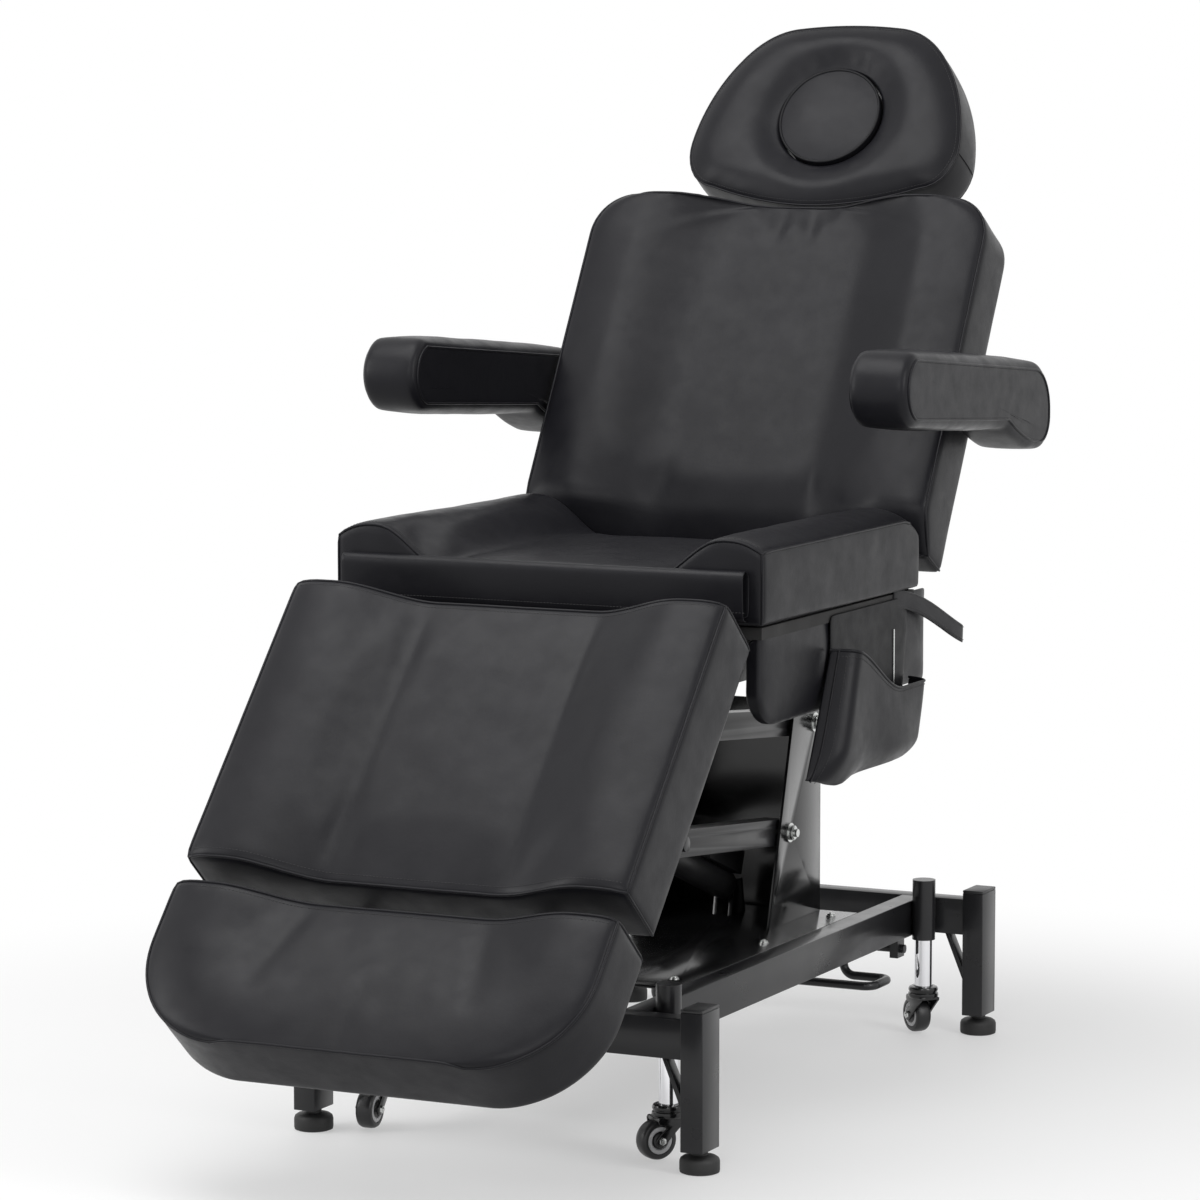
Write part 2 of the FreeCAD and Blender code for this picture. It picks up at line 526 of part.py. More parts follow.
for y, z in ((lowY, lowZ), (highY, highZ)):
    bracketParts.append(bar("boltRadius", f"{armOut} + nutThick + 0.5 - {bracketX}", bracketX, y, z, "x"))
    bracketParts.append(bar("nutRadius", "nutThick", f"{armOut} + 0.5", y, z, "x"))
bracket = fuse(*bracketParts)
node("lift_brackets", group(bracket, mirrored(bracket)))

boardHalf = "(seatWidth / 2 - boardInset)"
node("seat_board", block(f"2 * {boardHalf}", "seatRear - seatFront - boardInset", "boardThick",
                         f"-{boardHalf}", "seatFront + boardInset + 5", "seatBottom - boardThick"))


# Upholstered pads: cross-sections with raised sides and a low middle, lofted along the pad
def padSection(half, depth, dip, inset, along, low=0.0):
    half = half - inset
    top = depth - inset
    wide = value("bolsterWide")
    slope = value("bolsterSlope")
    edge = value("padEdge")
    valley = top - dip
    knee = half - wide
    flat = knee - slope
    shoulder = (half - edge, top - edge * 0.25)
    foot = (half - edge * 0.4, low)
    side = (half, low + (top - low) * 0.55)
    crest = (half - wide * 0.55, top)
    drop = (knee, top - dip * 0.4)
    curve = (knee - slope * 0.5, valley + dip * 0.16)
    base = (flat, valley)

    def at(point, sign):
        return (sign * point[0], along, point[1])

    edges = [line(at(foot, -1), at(foot, 1))]
    for sign in (1, -1):
        edges.append(arc(at(foot, sign), at(side, sign), at(shoulder, sign)))
        edges.append(arc(at(shoulder, sign), at(crest, sign), at(drop, sign)))
        edges.append(arc(at(drop, sign), at(curve, sign), at(base, sign)))
    edges.append(arc(at(base, 1), (0, along, valley + value("padCrown") * 0.3), at(base, -1)))
    return wireOf(edges)


def padSolid(stations):
    wires = [padSection(*station) for station in stations]
    return Part.makeLoft(wires, True, True)


edge = value("padEdge")
seatHalf = value("seatWidth / 2")
seatLong = value("seatRear - seatFront")
depth = value("padDepth")
dip = value("padDip")
rows = [(0, edge * 0.5), (edge, 0), (seatLong / 2, 0), (seatLong - edge, 0), (seatLong, edge * 0.5)]
seatStations = [(seatHalf, depth, dip, inset, along) for along, inset in rows]
node("seat_cushion", place(solid(padSolid(seatStations)), 0, "seatFront", "seatBottom"))

# Side skirts: padded panels that hang from the edges of the seat board
skirtTop = "seatBottom - boardThick"
skirtLine = [("skirtFront", skirtTop), ("skirtFront", "skirtBottom + skirtRound"),
             ("skirtFront + skirtRound * 0.12", "skirtBottom + skirtRound * 0.5"),
             ("skirtFront + skirtRound * 0.5", "skirtBottom + skirtRound * 0.12"),
             ("skirtFront + skirtRound", "skirtBottom"), ("skirtRear - skirtRound", "skirtBottom"),
             ("skirtRear", "skirtBottom + skirtRound"), ("skirtRear", skirtTop)]
skirtX = f"({boardHalf} - skirtThick)"
skirt = plate(skirtLine, "skirtThick", skirtX)
node("side_skirts", group(skirt, mirrored(skirt)))

# Sewn-in flap that closes the gap in front of the seat, and the pull strap at its rear
flapRound = "flapThick / 2"


def loopSection(low, high, y, half):
    edges = [line((0, y - half, low), (0, y + half, low)), line((0, y - half, low), (0, y - half, high)),
             line((0, y + half, low), (0, y + half, high)),
             arc((0, y - half, high), (0, y, high + half), (0, y + half, high))]
    return Part.Face(wireOf(edges))


flapHigh = value("flapTall - flapThick / 2")
flapHalf = value(flapRound)
flapShape = loopSection(0, flapHigh, -flapHalf, flapHalf)
flapShape = flapShape.cut(loopSection(value("flapWall"), flapHigh, -flapHalf, flapHalf - value("flapWall")))
flapSolid = solid(flapShape.extrude(Vector(value("2 * flapHalf"), 0, 0)))
node("gap_flap", place(group(flapSolid), "-flapHalf", "seatFront", "seatBottom + 8"))
strapLine = [("0", "0"), ("0", "-strapWide"), ("strapThick", "-strapWide - 4"),
             ("strapThick * 3", "-strapWide * 1.4"), ("strapLong * 0.5", "-strapWide * 2"),
             ("strapLong * 0.6", "-strapWide * 1.8"), ("strapThick * 5", "-strapWide"),
             ("strapThick", "-4")]
node("pull_strap", plate(strapLine, "strapWide", "strapX", "skirtRear", "strapTop"))

# Side pocket: an open bag on the outside of the right skirt
pocketX = boardHalf
bagLine = [("pocketFront", "pocketTop"), ("pocketFront + 6", "pocketBottom + 40"),
           ("pocketFront + 34", "pocketBottom + 6"), ("pocketFront + 60", "pocketBottom"),
           ("pocketRear - 60", "pocketBottom"), ("pocketRear - 30", "pocketBottom + 8"),
           ("pocketRear - 6", "pocketBottom + 40"), ("pocketRear", "pocketTop - pocketDrop")]
wall = "pocketWall"
holeLine = [(f"pocketFront + {wall}", "pocketTop + 1"),
            (f"pocketFront + 6 + {wall}", "pocketBottom + 40"),
            (f"pocketFront + 36 + {wall}", f"pocketBottom + 8 + {wall}"),
            ("pocketFront + 60", f"pocketBottom + {wall}"), ("pocketRear - 60", f"pocketBottom + {wall}"),
            (f"pocketRear - 32 - {wall}", f"pocketBottom + 10 + {wall}"),
            (f"pocketRear - 6 - {wall}", "pocketBottom + 40"),
            (f"pocketRear - {wall}", "pocketTop - pocketDrop + 1")]
bag = cut(plate(bagLine, "pocketDeep", pocketX),
          plate(holeLine, f"pocketDeep - 2 * {wall}", f"{pocketX} + {wall}"))
hanger = block(wall, "pocketRear - pocketFront - 60", f"{skirtTop} - 6 - pocketTop + pocketDrop",
               pocketX, "pocketFront + 30", "pocketTop - pocketDrop")
node("side_pocket", fuse(bag, hanger))

# Control box under the board, with the socket for the mains lead and the gland for the cord
boxX = "(-frameX - frameTube / 2 - boxThick)"
box = block("boxThick", "boxLong", "boxTall", boxX, "boxY", f"{skirtTop} - boxTall")
gland = bar("glandRadius", "glandLong", f"{boxX} + boxThick / 2", "boxY + glandAt",
            f"{skirtTop} - boxTall - glandLong")
inlet = block("boxThick - 14", "8", "20", f"{boxX} + 7", "boxY - 8", f"{skirtTop} - boxTall + 14")
inletHole = block("boxThick - 18", "14", "14", f"{boxX} + 9", "boxY - 8", f"{skirtTop} - boxTall + 17")
node("control_box", cut(fuse(box, gland, inlet), inletHole))

# Hand control: holder on the left skirt, case, six push buttons, cord
handBack = f"({boardHalf} + holderThick + handFit)"
handFront = f"({handBack} + handThick)"
shelfZ = "(handZ - handLong / 2)"
holderTop = "(handZ + handLong / 2 + handFit)"
holderParts = [block("holderThick", "holderWide", "holderLong", f"-{boardHalf} - holderThick",
                     "handY - holderWide / 2", f"{holderTop} - holderLong")]
for wingY, footY in (("handY + handWide / 2 + handFit", "handY + holderWide / 2"),
                     ("handY - handWide / 2 - handFit - holderThick", "handY - handWide / 2 - handFit - holderThick")):
    holderParts.append(block(f"{handFront} - 6 - {boardHalf}", "holderThick", "wingTall", f"-{handFront} + 6",
                             wingY, "handZ + wingLow"))
    holderParts.append(block("holderThick", "handWide / 2 + handFit + holderThick - holderWide / 2", "wingTall",
                             f"-{boardHalf} - holderThick", footY, "handZ + wingLow"))
holderParts.append(block(f"{handFront} - 3 - {boardHalf}", "tabWide", "holderThick", f"-{handFront} + 3",
                         "handY - tabWide / 2", holderTop))
node("handset_holder", fuse(*holderParts))

handHalf = value("handLong / 2")
handSide = value("handWide / 2")
waist = value("handWaist / 2")
handAt = Vector(0, value("handY"), value("handZ"))


def handOutline(x, inset):
    side = handSide - inset
    end = handHalf - inset
    mid = waist - inset
    shoulder = end * 0.86
    edges = [arc((x, side, -shoulder), (x, mid, 0), (x, side, shoulder)),
             arc((x, side, shoulder), (x, side * 0.72, end * 0.97), (x, side * 0.3, end)),
             line((x, side * 0.3, end), (x, -side * 0.3, end)),
             arc((x, -side * 0.3, end), (x, -side * 0.72, end * 0.97), (x, -side, shoulder)),
             arc((x, -side, shoulder), (x, -mid, 0), (x, -side, -shoulder)),
             arc((x, -side, -shoulder), (x, -side * 0.72, -end * 0.97), (x, -side * 0.3, -end)),
             line((x, -side * 0.3, -end), (x, side * 0.3, -end)),
             arc((x, side * 0.3, -end), (x, side * 0.72, -end * 0.97), (x, side, -shoulder))]
    wire = wireOf(edges)
    wire.translate(handAt)
    return wire


frontX = -value(handFront)
backX = -value(handBack)
caseLoft = Part.makeLoft([handOutline(backX, 3), handOutline(backX - 4, 0), handOutline(frontX + 6, 0),
                          handOutline(frontX, 4)], True, True)


def quadButton(x, y, z, wide, tall, grow):
    wide = wide / 2 + grow
    tall = tall / 2 + grow
    rim = 4.0 + grow
    bulge = rim * (1 - math.sqrt(0.5))
    edges = []
    for sy, sz in ((1, 1), (-1, -1)):
        edges.append(line((x, y - sy * (wide - rim), z + sz * tall), (x, y + sy * (wide - rim), z + sz * tall)))
        edges.append(line((x, y + sy * wide, z + sz * (tall - rim)), (x, y + sy * wide, z - sz * (tall - rim))))
    for sy in (1, -1):
        for sz in (1, -1):
            edges.append(arc((x, y + sy * (wide - rim), z + sz * tall),
                             (x, y + sy * (wide - bulge), z + sz * (tall - bulge)),
                             (x, y + sy * wide, z + sz * (tall - rim))))
    return wireOf(edges)


def moonButton(x, y, z, radius, sign, grow):
    radius = radius + grow
    chord = 1.2 - grow
    reach = math.sqrt(radius * radius - chord * chord)
    edges = [line((x, y - reach, z + sign * chord), (x, y + reach, z + sign * chord)),
             arc((x, y - reach, z + sign * chord), (x, y, z + sign * radius), (x, y + reach, z + sign * chord))]
    return wireOf(edges)


quad = (value("quadWide"), value("quadTall"))
buttonRows = [(quadButton, (side * value("quadX"), value(up), *quad)) for up, side in
              (("topQuadZ", -1), ("topQuadZ", 1))]
buttonRows += [(moonButton, (0, value("moonZ"), value("moonRadius"), sign)) for sign in (1, -1)]
buttonRows += [(quadButton, (side * value("quadX"), value(up), *quad)) for up, side in
               (("lowQuadZ", -1), ("lowQuadZ", 1))]
recesses = []
for number, (shape, (y, z, *rest)) in enumerate(buttonRows, 1):
    y = handAt.y + y
    z = handAt.z + z
    sunk = 3.0
    button = Part.Face(shape(frontX + sunk, y, z, *rest, 0.0))
    button = button.extrude(Vector(-sunk - value("buttonRise"), 0, 0))
    node(f"button_{number}", solid(button))
    recess = Part.Face(shape(frontX + sunk + value("buttonTravel") + 0.3, y, z, *rest, value("buttonGap")))
    recesses.append(solid(recess.extrude(Vector(-sunk - 8, 0, 0))))
relief = bar("2 * cordRadius", "reliefLong", f"-({handBack} + {handFront}) / 2", "handY",
             f"{shelfZ} - reliefLong + 3")
node("handset_case", cut(fuse(solid(caseLoft), relief), fuse(*recesses)))

reliefEnd = Vector(value(f"-({handBack} + {handFront}) / 2"), handAt.y, value(f"{shelfZ} - reliefLong + 3"))
glandEnd = Vector(value(f"{boxX} + boxThick / 2"), value("boxY + glandAt"),
                  value(f"{skirtTop} - boxTall - glandLong"))
cordPoints = [reliefEnd, reliefEnd + Vector(-1, 1, -44), reliefEnd + Vector(0, 4, -112),
              reliefEnd + Vector(3.5, 11, -178), reliefEnd + Vector(13.5, 30, -232),
              reliefEnd + Vector(29.5, 62, -254), glandEnd + Vector(-25, 12, -346),
              glandEnd + Vector(-15, 26, -288), glandEnd + Vector(-9, 24, -220), glandEnd + Vector(-4, 15, -150),
              glandEnd + Vector(-1, 6, -82), glandEnd + Vector(0, 1, -34), glandEnd]
cordPath = roundedPath(cordPoints, lambda a, b, half: 0.45 * min(a, b) * math.tan(half))
cordShape = sweptBar(cordPath, value("cordRadius"))
node("handset_cord", solid(cordShape))
print("cord length", round(cordPath.Length, 1), "volume ratio",
      round(cordShape.Volume / (math.pi * value("cordRadius") ** 2 * cordPath.Length), 4), "bend radii",
      [round(e.Curve.Radius, 1) for e in cordPath.Edges if hasattr(e.Curve, "Radius")])

# Back rest, in the frame of its hinge: z up the back, y to the rear
barX = f"({earX} + lugThick + lugGap)"
crossHalf = f"2 * {barX}"


def atBack(label, *parts):
    return node(label, place(group(*parts), 0, "backHingeY", "backHingeZ", Vector(-1, 0, 0), "backLean"))


def atLeg(label, *parts):
    return node(label, place(group(*parts), 0, "legHingeY", "legHingeZ", Vector(1, 0, 0), "legDrop"))


def crankPair(outline, x, pinY, pinZ):
    return fuse(*earPair(outline, pinY, pinZ, x))


backBar = [("-4", "hingeLug"), ("-hingeLug", "4"), ("-hingeLug", "-4"), ("-4", "-hingeLug"),
           ("12", "-hingeLug"), ("boardThick + frameTube", "2 * hingeLug"),
           ("boardThick + frameTube", "backBarTop"), ("boardThick", "backBarTop"),
           ("boardThick", "2 * hingeLug + hingeRadius"), ("4", "hingeLug")]
hingeHole = [("0", "0", "hingeRadius + runClear")]
sideBar = plate(backBar, "barThick", barX, holes=hingeHole)
stub = bar("armPin", f"armPadInner + armPadWide - 12 - {barX} - barThick", f"{barX} + barThick",
           "armPivotBack", "armPivotUp", "x")
backParts = [sideBar, mirrored(sideBar), stub, mirrored(stub)]
for z in ("backTubeLow", "backTubeHigh"):
    backParts.append(tubeX(crossHalf, "frameTube", "frameTube", f"-{barX}", "boardThick", z))
backCrankLine = [("boardThick + 2", "backTubeLow"), ("boardThick + frameTube", "backTubeLow"),
                 ("backCrankY + 12", "backCrankZ + 5"), ("backCrankY + 9", "backCrankZ - 9"),
                 ("backCrankY - 5", "backCrankZ - 12"), ("backCrankY - 13", "backCrankZ")]
backParts.append(crankPair(backCrankLine, "sideDriveX", "backCrankY", "backCrankZ"))
for x in ("receiverX", "-receiverX"):
    sleeve = bar("receiverRadius", "receiverHigh - receiverLow", x, "receiverBack + 1", "receiverLow")
    bore = bar("headRodRadius + runClear", "receiverHigh - receiverLow", x, "receiverBack + 1", "receiverLow")
    backParts.append(cut(sleeve, bore))
atBack("back_frame", *backParts)
atBack("back_board", block("2 * boardHalfWide", "boardThick - boardGap", "backBoardTall", "-boardHalfWide",
                           "boardGap", "backBoardLow"))


def roundedHalf(half, radius, inward):
    if inward >= radius:
        return half
    return half - radius + math.sqrt(radius * radius - (radius - inward) ** 2)


backTop = value("backTop")
backLow = value("backLow")
full = value("backDepth")
backDip = value("backDip")
round1 = value("backRound")
backStations = [(seatHalf, full - 40, backDip * 0.5, 5, backLow),
                (seatHalf, full, backDip, 0, backLow + value("backChamfer"))]
for inward in (round1 * 4, round1, round1 * 0.6, round1 * 0.3, round1 * 0.12):
    backStations.append((roundedHalf(seatHalf, round1, inward), full, backDip, 0, backTop - inward))
backStations.append((roundedHalf(seatHalf, round1, 1.0), full, backDip, edge * 0.5, backTop))
backPad = solid(padSolid(backStations))
backPad.Placement = Placement(Vector(0, value("boardGap"), 0), Rotation(Vector(1, 0, 0), 90))
atBack("back_cushion", backPad)

# Leg rest, in the frame of its hinge: -y down the leg rest, z out of its face
legBar = [("hingeLug", "4"), ("4", "hingeLug"), ("-4", "hingeLug"), ("-hingeLug - 5", "-legBarTop"),
          ("-legBarEnd", "-legBarTop"), ("-legBarEnd", "-legBarDeep"), ("-2 * hingeLug", "-legBarDeep"),
          ("4", "-hingeLug"), ("hingeLug", "-4")]
legSide = plate(legBar, "barThick", barX, holes=hingeHole)
legParts = [legSide, mirrored(legSide)]
for y in ("-legTubeOne", "-legTubeTwo", "-legTubeThree"):
    legParts.append(tubeX(crossHalf, "frameTube", "frameTube", f"-{barX}", y, "-legBarDeep"))
legCrankLine = [("frameTube - legTubeOne", "-legBarDeep"), ("-legTubeOne", "-legBarDeep"),
                ("legCrankY - 14", "legCrankZ - 4"),
                ("legCrankY - 4", "legCrankZ - 12"), ("legCrankY + 9", "legCrankZ - 8"),
                ("legCrankY + 11", "legCrankZ + 5")]
legParts.append(crankPair(legCrankLine, "-sideDriveX", "legCrankY", "legCrankZ"))
slideZ = "(-legBarDeep - slideRadius)"
for x in ("slideX", "-slideX"):
    sleeve = bar("slideRadius", "slideHigh - slideLow", x, "-slideHigh", slideZ, "y")
    bore = bar("slideRodRadius + runClear", "slideHigh - slideLow", x, "-slideHigh", slideZ, "y")
    legParts.append(cut(sleeve, bore))
atLeg("leg_frame", *legParts)
atLeg("leg_board", block("2 * boardHalfWide", "legEnd - boardThick - legBoardStart", "legBarTop + legFace - legDepth",
                         "-boardHalfWide", "boardThick - legEnd", "-legBarTop"))
legDepth = value("legDepth")
legStart = value("legStart")
legEnd = value("legEnd")
legStations = [(seatHalf, legDepth, backDip, inset, along) for along, inset in
               ((legStart, edge * 0.5), (legStart + edge, 0), ((legStart + legEnd) / 2, 0),
                (legEnd - edge, 0), (legEnd, edge * 0.5))]
legPad = solid(padSolid(legStations))
legPad.Placement = Placement(Vector(0, 0, value("legFace - legDepth")), Rotation(Vector(0, 0, 1), 180))
atLeg("leg_cushion", legPad)

# Foot rest on two rods that slide in the leg rest
footLow = "(legFace - footDepth)"
footParts = [block("2 * footBoardHalf", "footBoardLong", "footBoardThick", "-footBoardHalf", "-footBoardEnd",
                   f"{footLow} - footBoardThick")]
for x in ("slideX", "-slideX"):
    footParts.append(bar("slideRodRadius", "footRodLong", x, "-footRodEnd", slideZ, "y"))
    footParts.append(block("hangerWide", "hangerLong", f"{footLow} - footBoardThick - {slideZ} + 4",
                           f"{x} - hangerWide / 2", "-footRodEnd", f"{slideZ} - 4"))
atLeg("foot_frame", fuse(*footParts))
footDepth = value("footDepth")
footStart = value("footStart")
footEnd = value("footEnd")
footRound = value("footRound")
footStations = [(seatHalf, footDepth, backDip, edge * 0.5, footStart), (seatHalf, footDepth, backDip, 0, footStart + edge)]
for inward in (footRound, footRound * 0.6, footRound * 0.35, footRound * 0.15, footRound * 0.05):
    footStations.append((roundedHalf(seatHalf, footRound, inward), footDepth, backDip, 0, footEnd - inward))
footStations.append((roundedHalf(seatHalf, footRound, 1.0), footDepth, backDip, edge * 0.5, footEnd))
footPad = solid(padSolid(footStations))
footPad.Placement = Placement(Vector(0, 0, value(footLow)), Rotation(Vector(0, 0, 1), 180))
atLeg("foot_cushion", footPad)

# Head rest: two rods in the back's sleeves, a tilting bracket, a pad with a face hole and its plug
hingeBack = "(receiverBack + 1)"
headParts = [bar("headRodRadius", "headHingeUp - headRodLow + headRodRadius", x, hingeBack, "headRodLow")
             for x in ("receiverX", "-receiverX")]
headParts.append(bar("hingeRadius", "2 * receiverX", "-receiverX", hingeBack, "headHingeUp", "x"))
atBack("head_rods", fuse(*headParts))
headRear = "(headDepth - headFace)"
bracketHole = [(hingeBack, "headHingeUp", "hingeRadius + runClear")]
headLug = [(f"{headRear} + headPlateThick", "headHingeUp + 14"), (f"{headRear} + headPlateThick", "headHingeUp - 14"),
           (f"{hingeBack} + 6", "headHingeUp - 10.5"), (f"{hingeBack} + 10.5", "headHingeUp - 5"),
           (f"{hingeBack} + 10.5", "headHingeUp + 5"), (f"{hingeBack} + 6", "headHingeUp + 10.5")]
lugRight = plate(headLug, "barThick", "headLugX", holes=bracketHole)
headPlate = block("2 * headPlateHalf", "headPlateThick", "headPlateTall", "-headPlateHalf", headRear,
                  "headPlateLow")
atBack("head_bracket", headPlate, lugRight, mirrored(lugRight))

headHalf = value("headWide / 2")
headLow = value("headLow")
headHigh = value("headLow + headTall")
headMid = (headLow + headHigh) / 2
holeUp = headLow + value("headTall") * 0.5


def headOutline(y, inset):
    sx = (headHalf - inset) / headHalf
    sz = (headHigh - headMid - inset) / (headHigh - headMid)

    def at(x, z):
        return (x * headHalf * sx, y, headMid + (z - 0.5) * (headHigh - headLow) * sz)

    edges = []
    for sign in (1, -1):
        edges.append(arc(at(0, 0.02), at(sign * 0.45, 0.055), at(sign * 0.78, 0.12)))
        edges.append(arc(at(sign * 0.78, 0.12), at(sign * 0.94, 0.19), at(sign, 0.33)))
        edges.append(arc(at(sign, 0.33), at(sign * 0.93, 0.58), at(sign * 0.76, 0.81)))
        edges.append(arc(at(sign * 0.76, 0.81), at(sign * 0.62, 0.915), at(sign * 0.36, 0.985)))
    edges.append(arc(at(0.36, 0.985), at(0, 1), at(-0.36, 0.985)))
    return wireOf(edges)


front = -value("headFace")
rear = value(headRear)
headLoft = Part.makeLoft([headOutline(front, 18), headOutline(front + 9, 5), headOutline(front + 28, 0),
                          headOutline(rear - 16, 0), headOutline(rear, 8)], True, True)
faceHole = bar("faceHole", "headDepth", 0, "-headFace", str(holeUp), "y")
atBack("head_cushion", cut(solid(headLoft), faceHole))


def ring(radius, y):
    return Part.Wire(Part.makeCircle(radius, Vector(0, y, holeUp), Vector(0, 1, 0)))


plugRadius = value("faceHole - plugGap")
plugLoft = Part.makeLoft([ring(plugRadius - 9, front), ring(plugRadius, front + 9), ring(plugRadius, rear - 6)],
                         True, True)
atBack("face_plug", solid(plugLoft))

# Arm rests, each with a blind bore for its stub on the back frame
armFront = value("armPadFront")
armRear = value("armPadRear")
armTop = value("armPadTop")
armTall = value("armPadTall")
armFall = value("armPadFall")
heel = value("armPadHeel")


def armOutline(x, inset):
    middleY = (armFront + armRear) / 2
    middleZ = armTop - armTall * 0.7
    sy = (armRear - middleY - inset) / (armRear - middleY)
    sz = (armTall * 0.7 - inset) / (armTall * 0.7)

    def at(y, z):
        return (x, middleY + (y - middleY) * sy, middleZ + (z - middleZ) * sz)

    nose = armFront + armTall * 0.38
    backTopZ = armTop - armFall
    lowRear = backTopZ - armTall - heel * 0.5
    under = armTop - armTall
    edges = [arc(at(nose, under), at(armFront, armTop - armTall * 0.5), at(nose, armTop)),
             line(at(nose, armTop), at(armRear - 40, backTopZ + 3)),
             arc(at(armRear - 40, backTopZ + 3), at(armRear - 8, backTopZ - 16), at(armRear, backTopZ - 52)),
             line(at(armRear, backTopZ - 52), at(armRear, lowRear + 34)),
             arc(at(armRear, lowRear + 34), at(armRear - 10, lowRear + 8), at(armRear - 36, lowRear)),
             line(at(armRear - 36, lowRear), at(armRear - 74, lowRear + 4)),
             arc(at(armRear - 74, lowRear + 4), at(armRear - 100, lowRear + 18), at(armRear - 122, lowRear + heel)),
             line(at(armRear - 122, lowRear + heel), at(nose, under))]
    return wireOf(edges)


inner = value("armPadInner")
outer = value("armPadInner + armPadWide")
armLoft = Part.makeLoft([armOutline(inner, 6), armOutline(inner + 8, 0), armOutline(outer - 8, 0),
                         armOutline(outer, 6)], True, True)
lean = "backLean * 1 deg"
armY = f"(backHingeY + armPivotBack * cos({lean}) + armPivotUp * sin({lean}))"
armZ = f"(backHingeZ - armPivotBack * sin({lean}) + armPivotUp * cos({lean}))"
armBore = bar("armPin + runClear", "armPadWide - 6", "armPadInner - 2", armY, armZ, "x")
armRight = cut(solid(armLoft), armBore)
node("armrest_right", armRight)
node("armrest_left", mirrored(armRight))

doc.recompute()
for thing in doc.Objects:
    if "Invalid" in thing.State or "Error" in thing.State:
        raise RuntimeError(f"{thing.Label} did not build")
os.makedirs("parts", exist_ok=True)
for thing in nodes:
    if thing.Shape.isNull() or not thing.Shape.isValid():
        raise RuntimeError(f"{thing.Label} has no valid shape")
    thing.Shape.exportStep(f"parts/{thing.Label}.step")
print(len(nodes), "pieces written")
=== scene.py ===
import json
import math
import bmesh
import bpy
from mathutils import Matrix, Vector, noise
from mathutils.bvhtree import BVHTree


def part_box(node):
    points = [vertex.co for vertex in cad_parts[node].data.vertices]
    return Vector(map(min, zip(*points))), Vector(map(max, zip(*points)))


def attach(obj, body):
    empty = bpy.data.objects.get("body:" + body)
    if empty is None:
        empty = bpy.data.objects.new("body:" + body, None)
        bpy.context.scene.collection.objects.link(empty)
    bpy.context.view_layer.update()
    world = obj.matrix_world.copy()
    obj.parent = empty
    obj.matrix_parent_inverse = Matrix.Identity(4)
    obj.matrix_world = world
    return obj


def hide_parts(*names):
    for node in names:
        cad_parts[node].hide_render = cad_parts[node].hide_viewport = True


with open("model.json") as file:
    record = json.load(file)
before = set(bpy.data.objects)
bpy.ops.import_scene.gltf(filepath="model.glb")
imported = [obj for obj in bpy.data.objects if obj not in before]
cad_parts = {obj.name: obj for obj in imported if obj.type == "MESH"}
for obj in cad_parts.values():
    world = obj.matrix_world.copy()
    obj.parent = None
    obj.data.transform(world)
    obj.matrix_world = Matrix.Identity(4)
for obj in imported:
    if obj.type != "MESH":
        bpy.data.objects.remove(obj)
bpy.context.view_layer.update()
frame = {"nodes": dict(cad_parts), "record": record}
nodes = frame["nodes"]
scene = bpy.context.scene
scene.view_settings.view_transform = "Standard"
print("frame loaded", len(nodes), "nodes")


def newObject(name, data):
    thing = bpy.data.objects.new(name, data)
    scene.collection.objects.link(thing)
    return thing


def meshFrom(name, verts, faces, material=None, smooth=True):
    mesh = bpy.data.meshes.new(name)
    mesh.from_pydata([tuple(v) for v in verts], [], faces)
    mesh.update()
    if smooth:
        mesh.polygons.foreach_set("use_smooth", [True] * len(mesh.polygons))
    if material:
        mesh.materials.append(material)
    return newObject(name, mesh)


bedMove = 0.100    # sizes here start under the middle of the base, this far from the origin
bedShift = Matrix.Translation((0, bedMove, 0))


def settle(thing, body, replaces=(), fill=None):
    # the piece goes to its place in the frame and rides there
    thing.data.transform(bedShift)
    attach(thing, body)
    if replaces:
        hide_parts(*replaces)
    return thing


def smoothStep(low, high, value):
    t = min(max((value - low) / (high - low), 0.0), 1.0)
    return t * t * (3 - 2 * t)


def baked(thing):
    # live modifiers become plain mesh
    bpy.context.view_layer.update()
    graph = bpy.context.evaluated_depsgraph_get()
    mesh = bpy.data.meshes.new_from_object(thing.evaluated_get(graph))
    thing.modifiers.clear()
    thing.data = mesh
    return thing


# camera at the photo's place
cameraFit = {"place": (2.5853, -5.4917, 1.3173), "pitch": 83.66, "turn": 25.99, "lens": 138.75, "sensor": 36.0,
             "far": 60}
cameraData = bpy.data.cameras.new("camera")
cameraData.sensor_width = cameraFit["sensor"]
cameraData.lens = cameraFit["lens"]
cameraData.clip_end = cameraFit["far"]
camera = newObject("camera", cameraData)
camera.location = bedShift @ Vector(cameraFit["place"])
camera.rotation_euler = (math.radians(cameraFit["pitch"]), 0, math.radians(cameraFit["turn"]))
scene.camera = camera
print("camera set")


# node helpers for the materials
def nodeIn(tree, kind, **inputs):
    made = tree.nodes.new(kind)
    for name, value in inputs.items():
        made.inputs[name.replace("_", " ")].default_value = value
    return made


def startMaterial(name, colour, roughness, **sockets):
    material = bpy.data.materials.new(name)
    material.use_nodes = True
    tree = material.node_tree
    shader = tree.nodes["Principled BSDF"]
    shader.inputs["Base Color"].default_value = (*colour, 1)
    shader.inputs["Roughness"].default_value = roughness
    for socket, value in sockets.items():
        shader.inputs[socket.replace("_", " ")].default_value = value
    place = tree.nodes.new("ShaderNodeTexCoord")
    return material, tree, shader, place.outputs["Object"]


def noiseOn(tree, place, scale, detail=3.0, rough=0.55):
    grain = nodeIn(tree, "ShaderNodeTexNoise", Scale=scale, Detail=detail, Roughness=rough)
    tree.links.new(place, grain.inputs["Vector"])
    return grain.outputs["Fac"]


noiseSpan = (0.3, 0.7)    # most of a noise lies between these


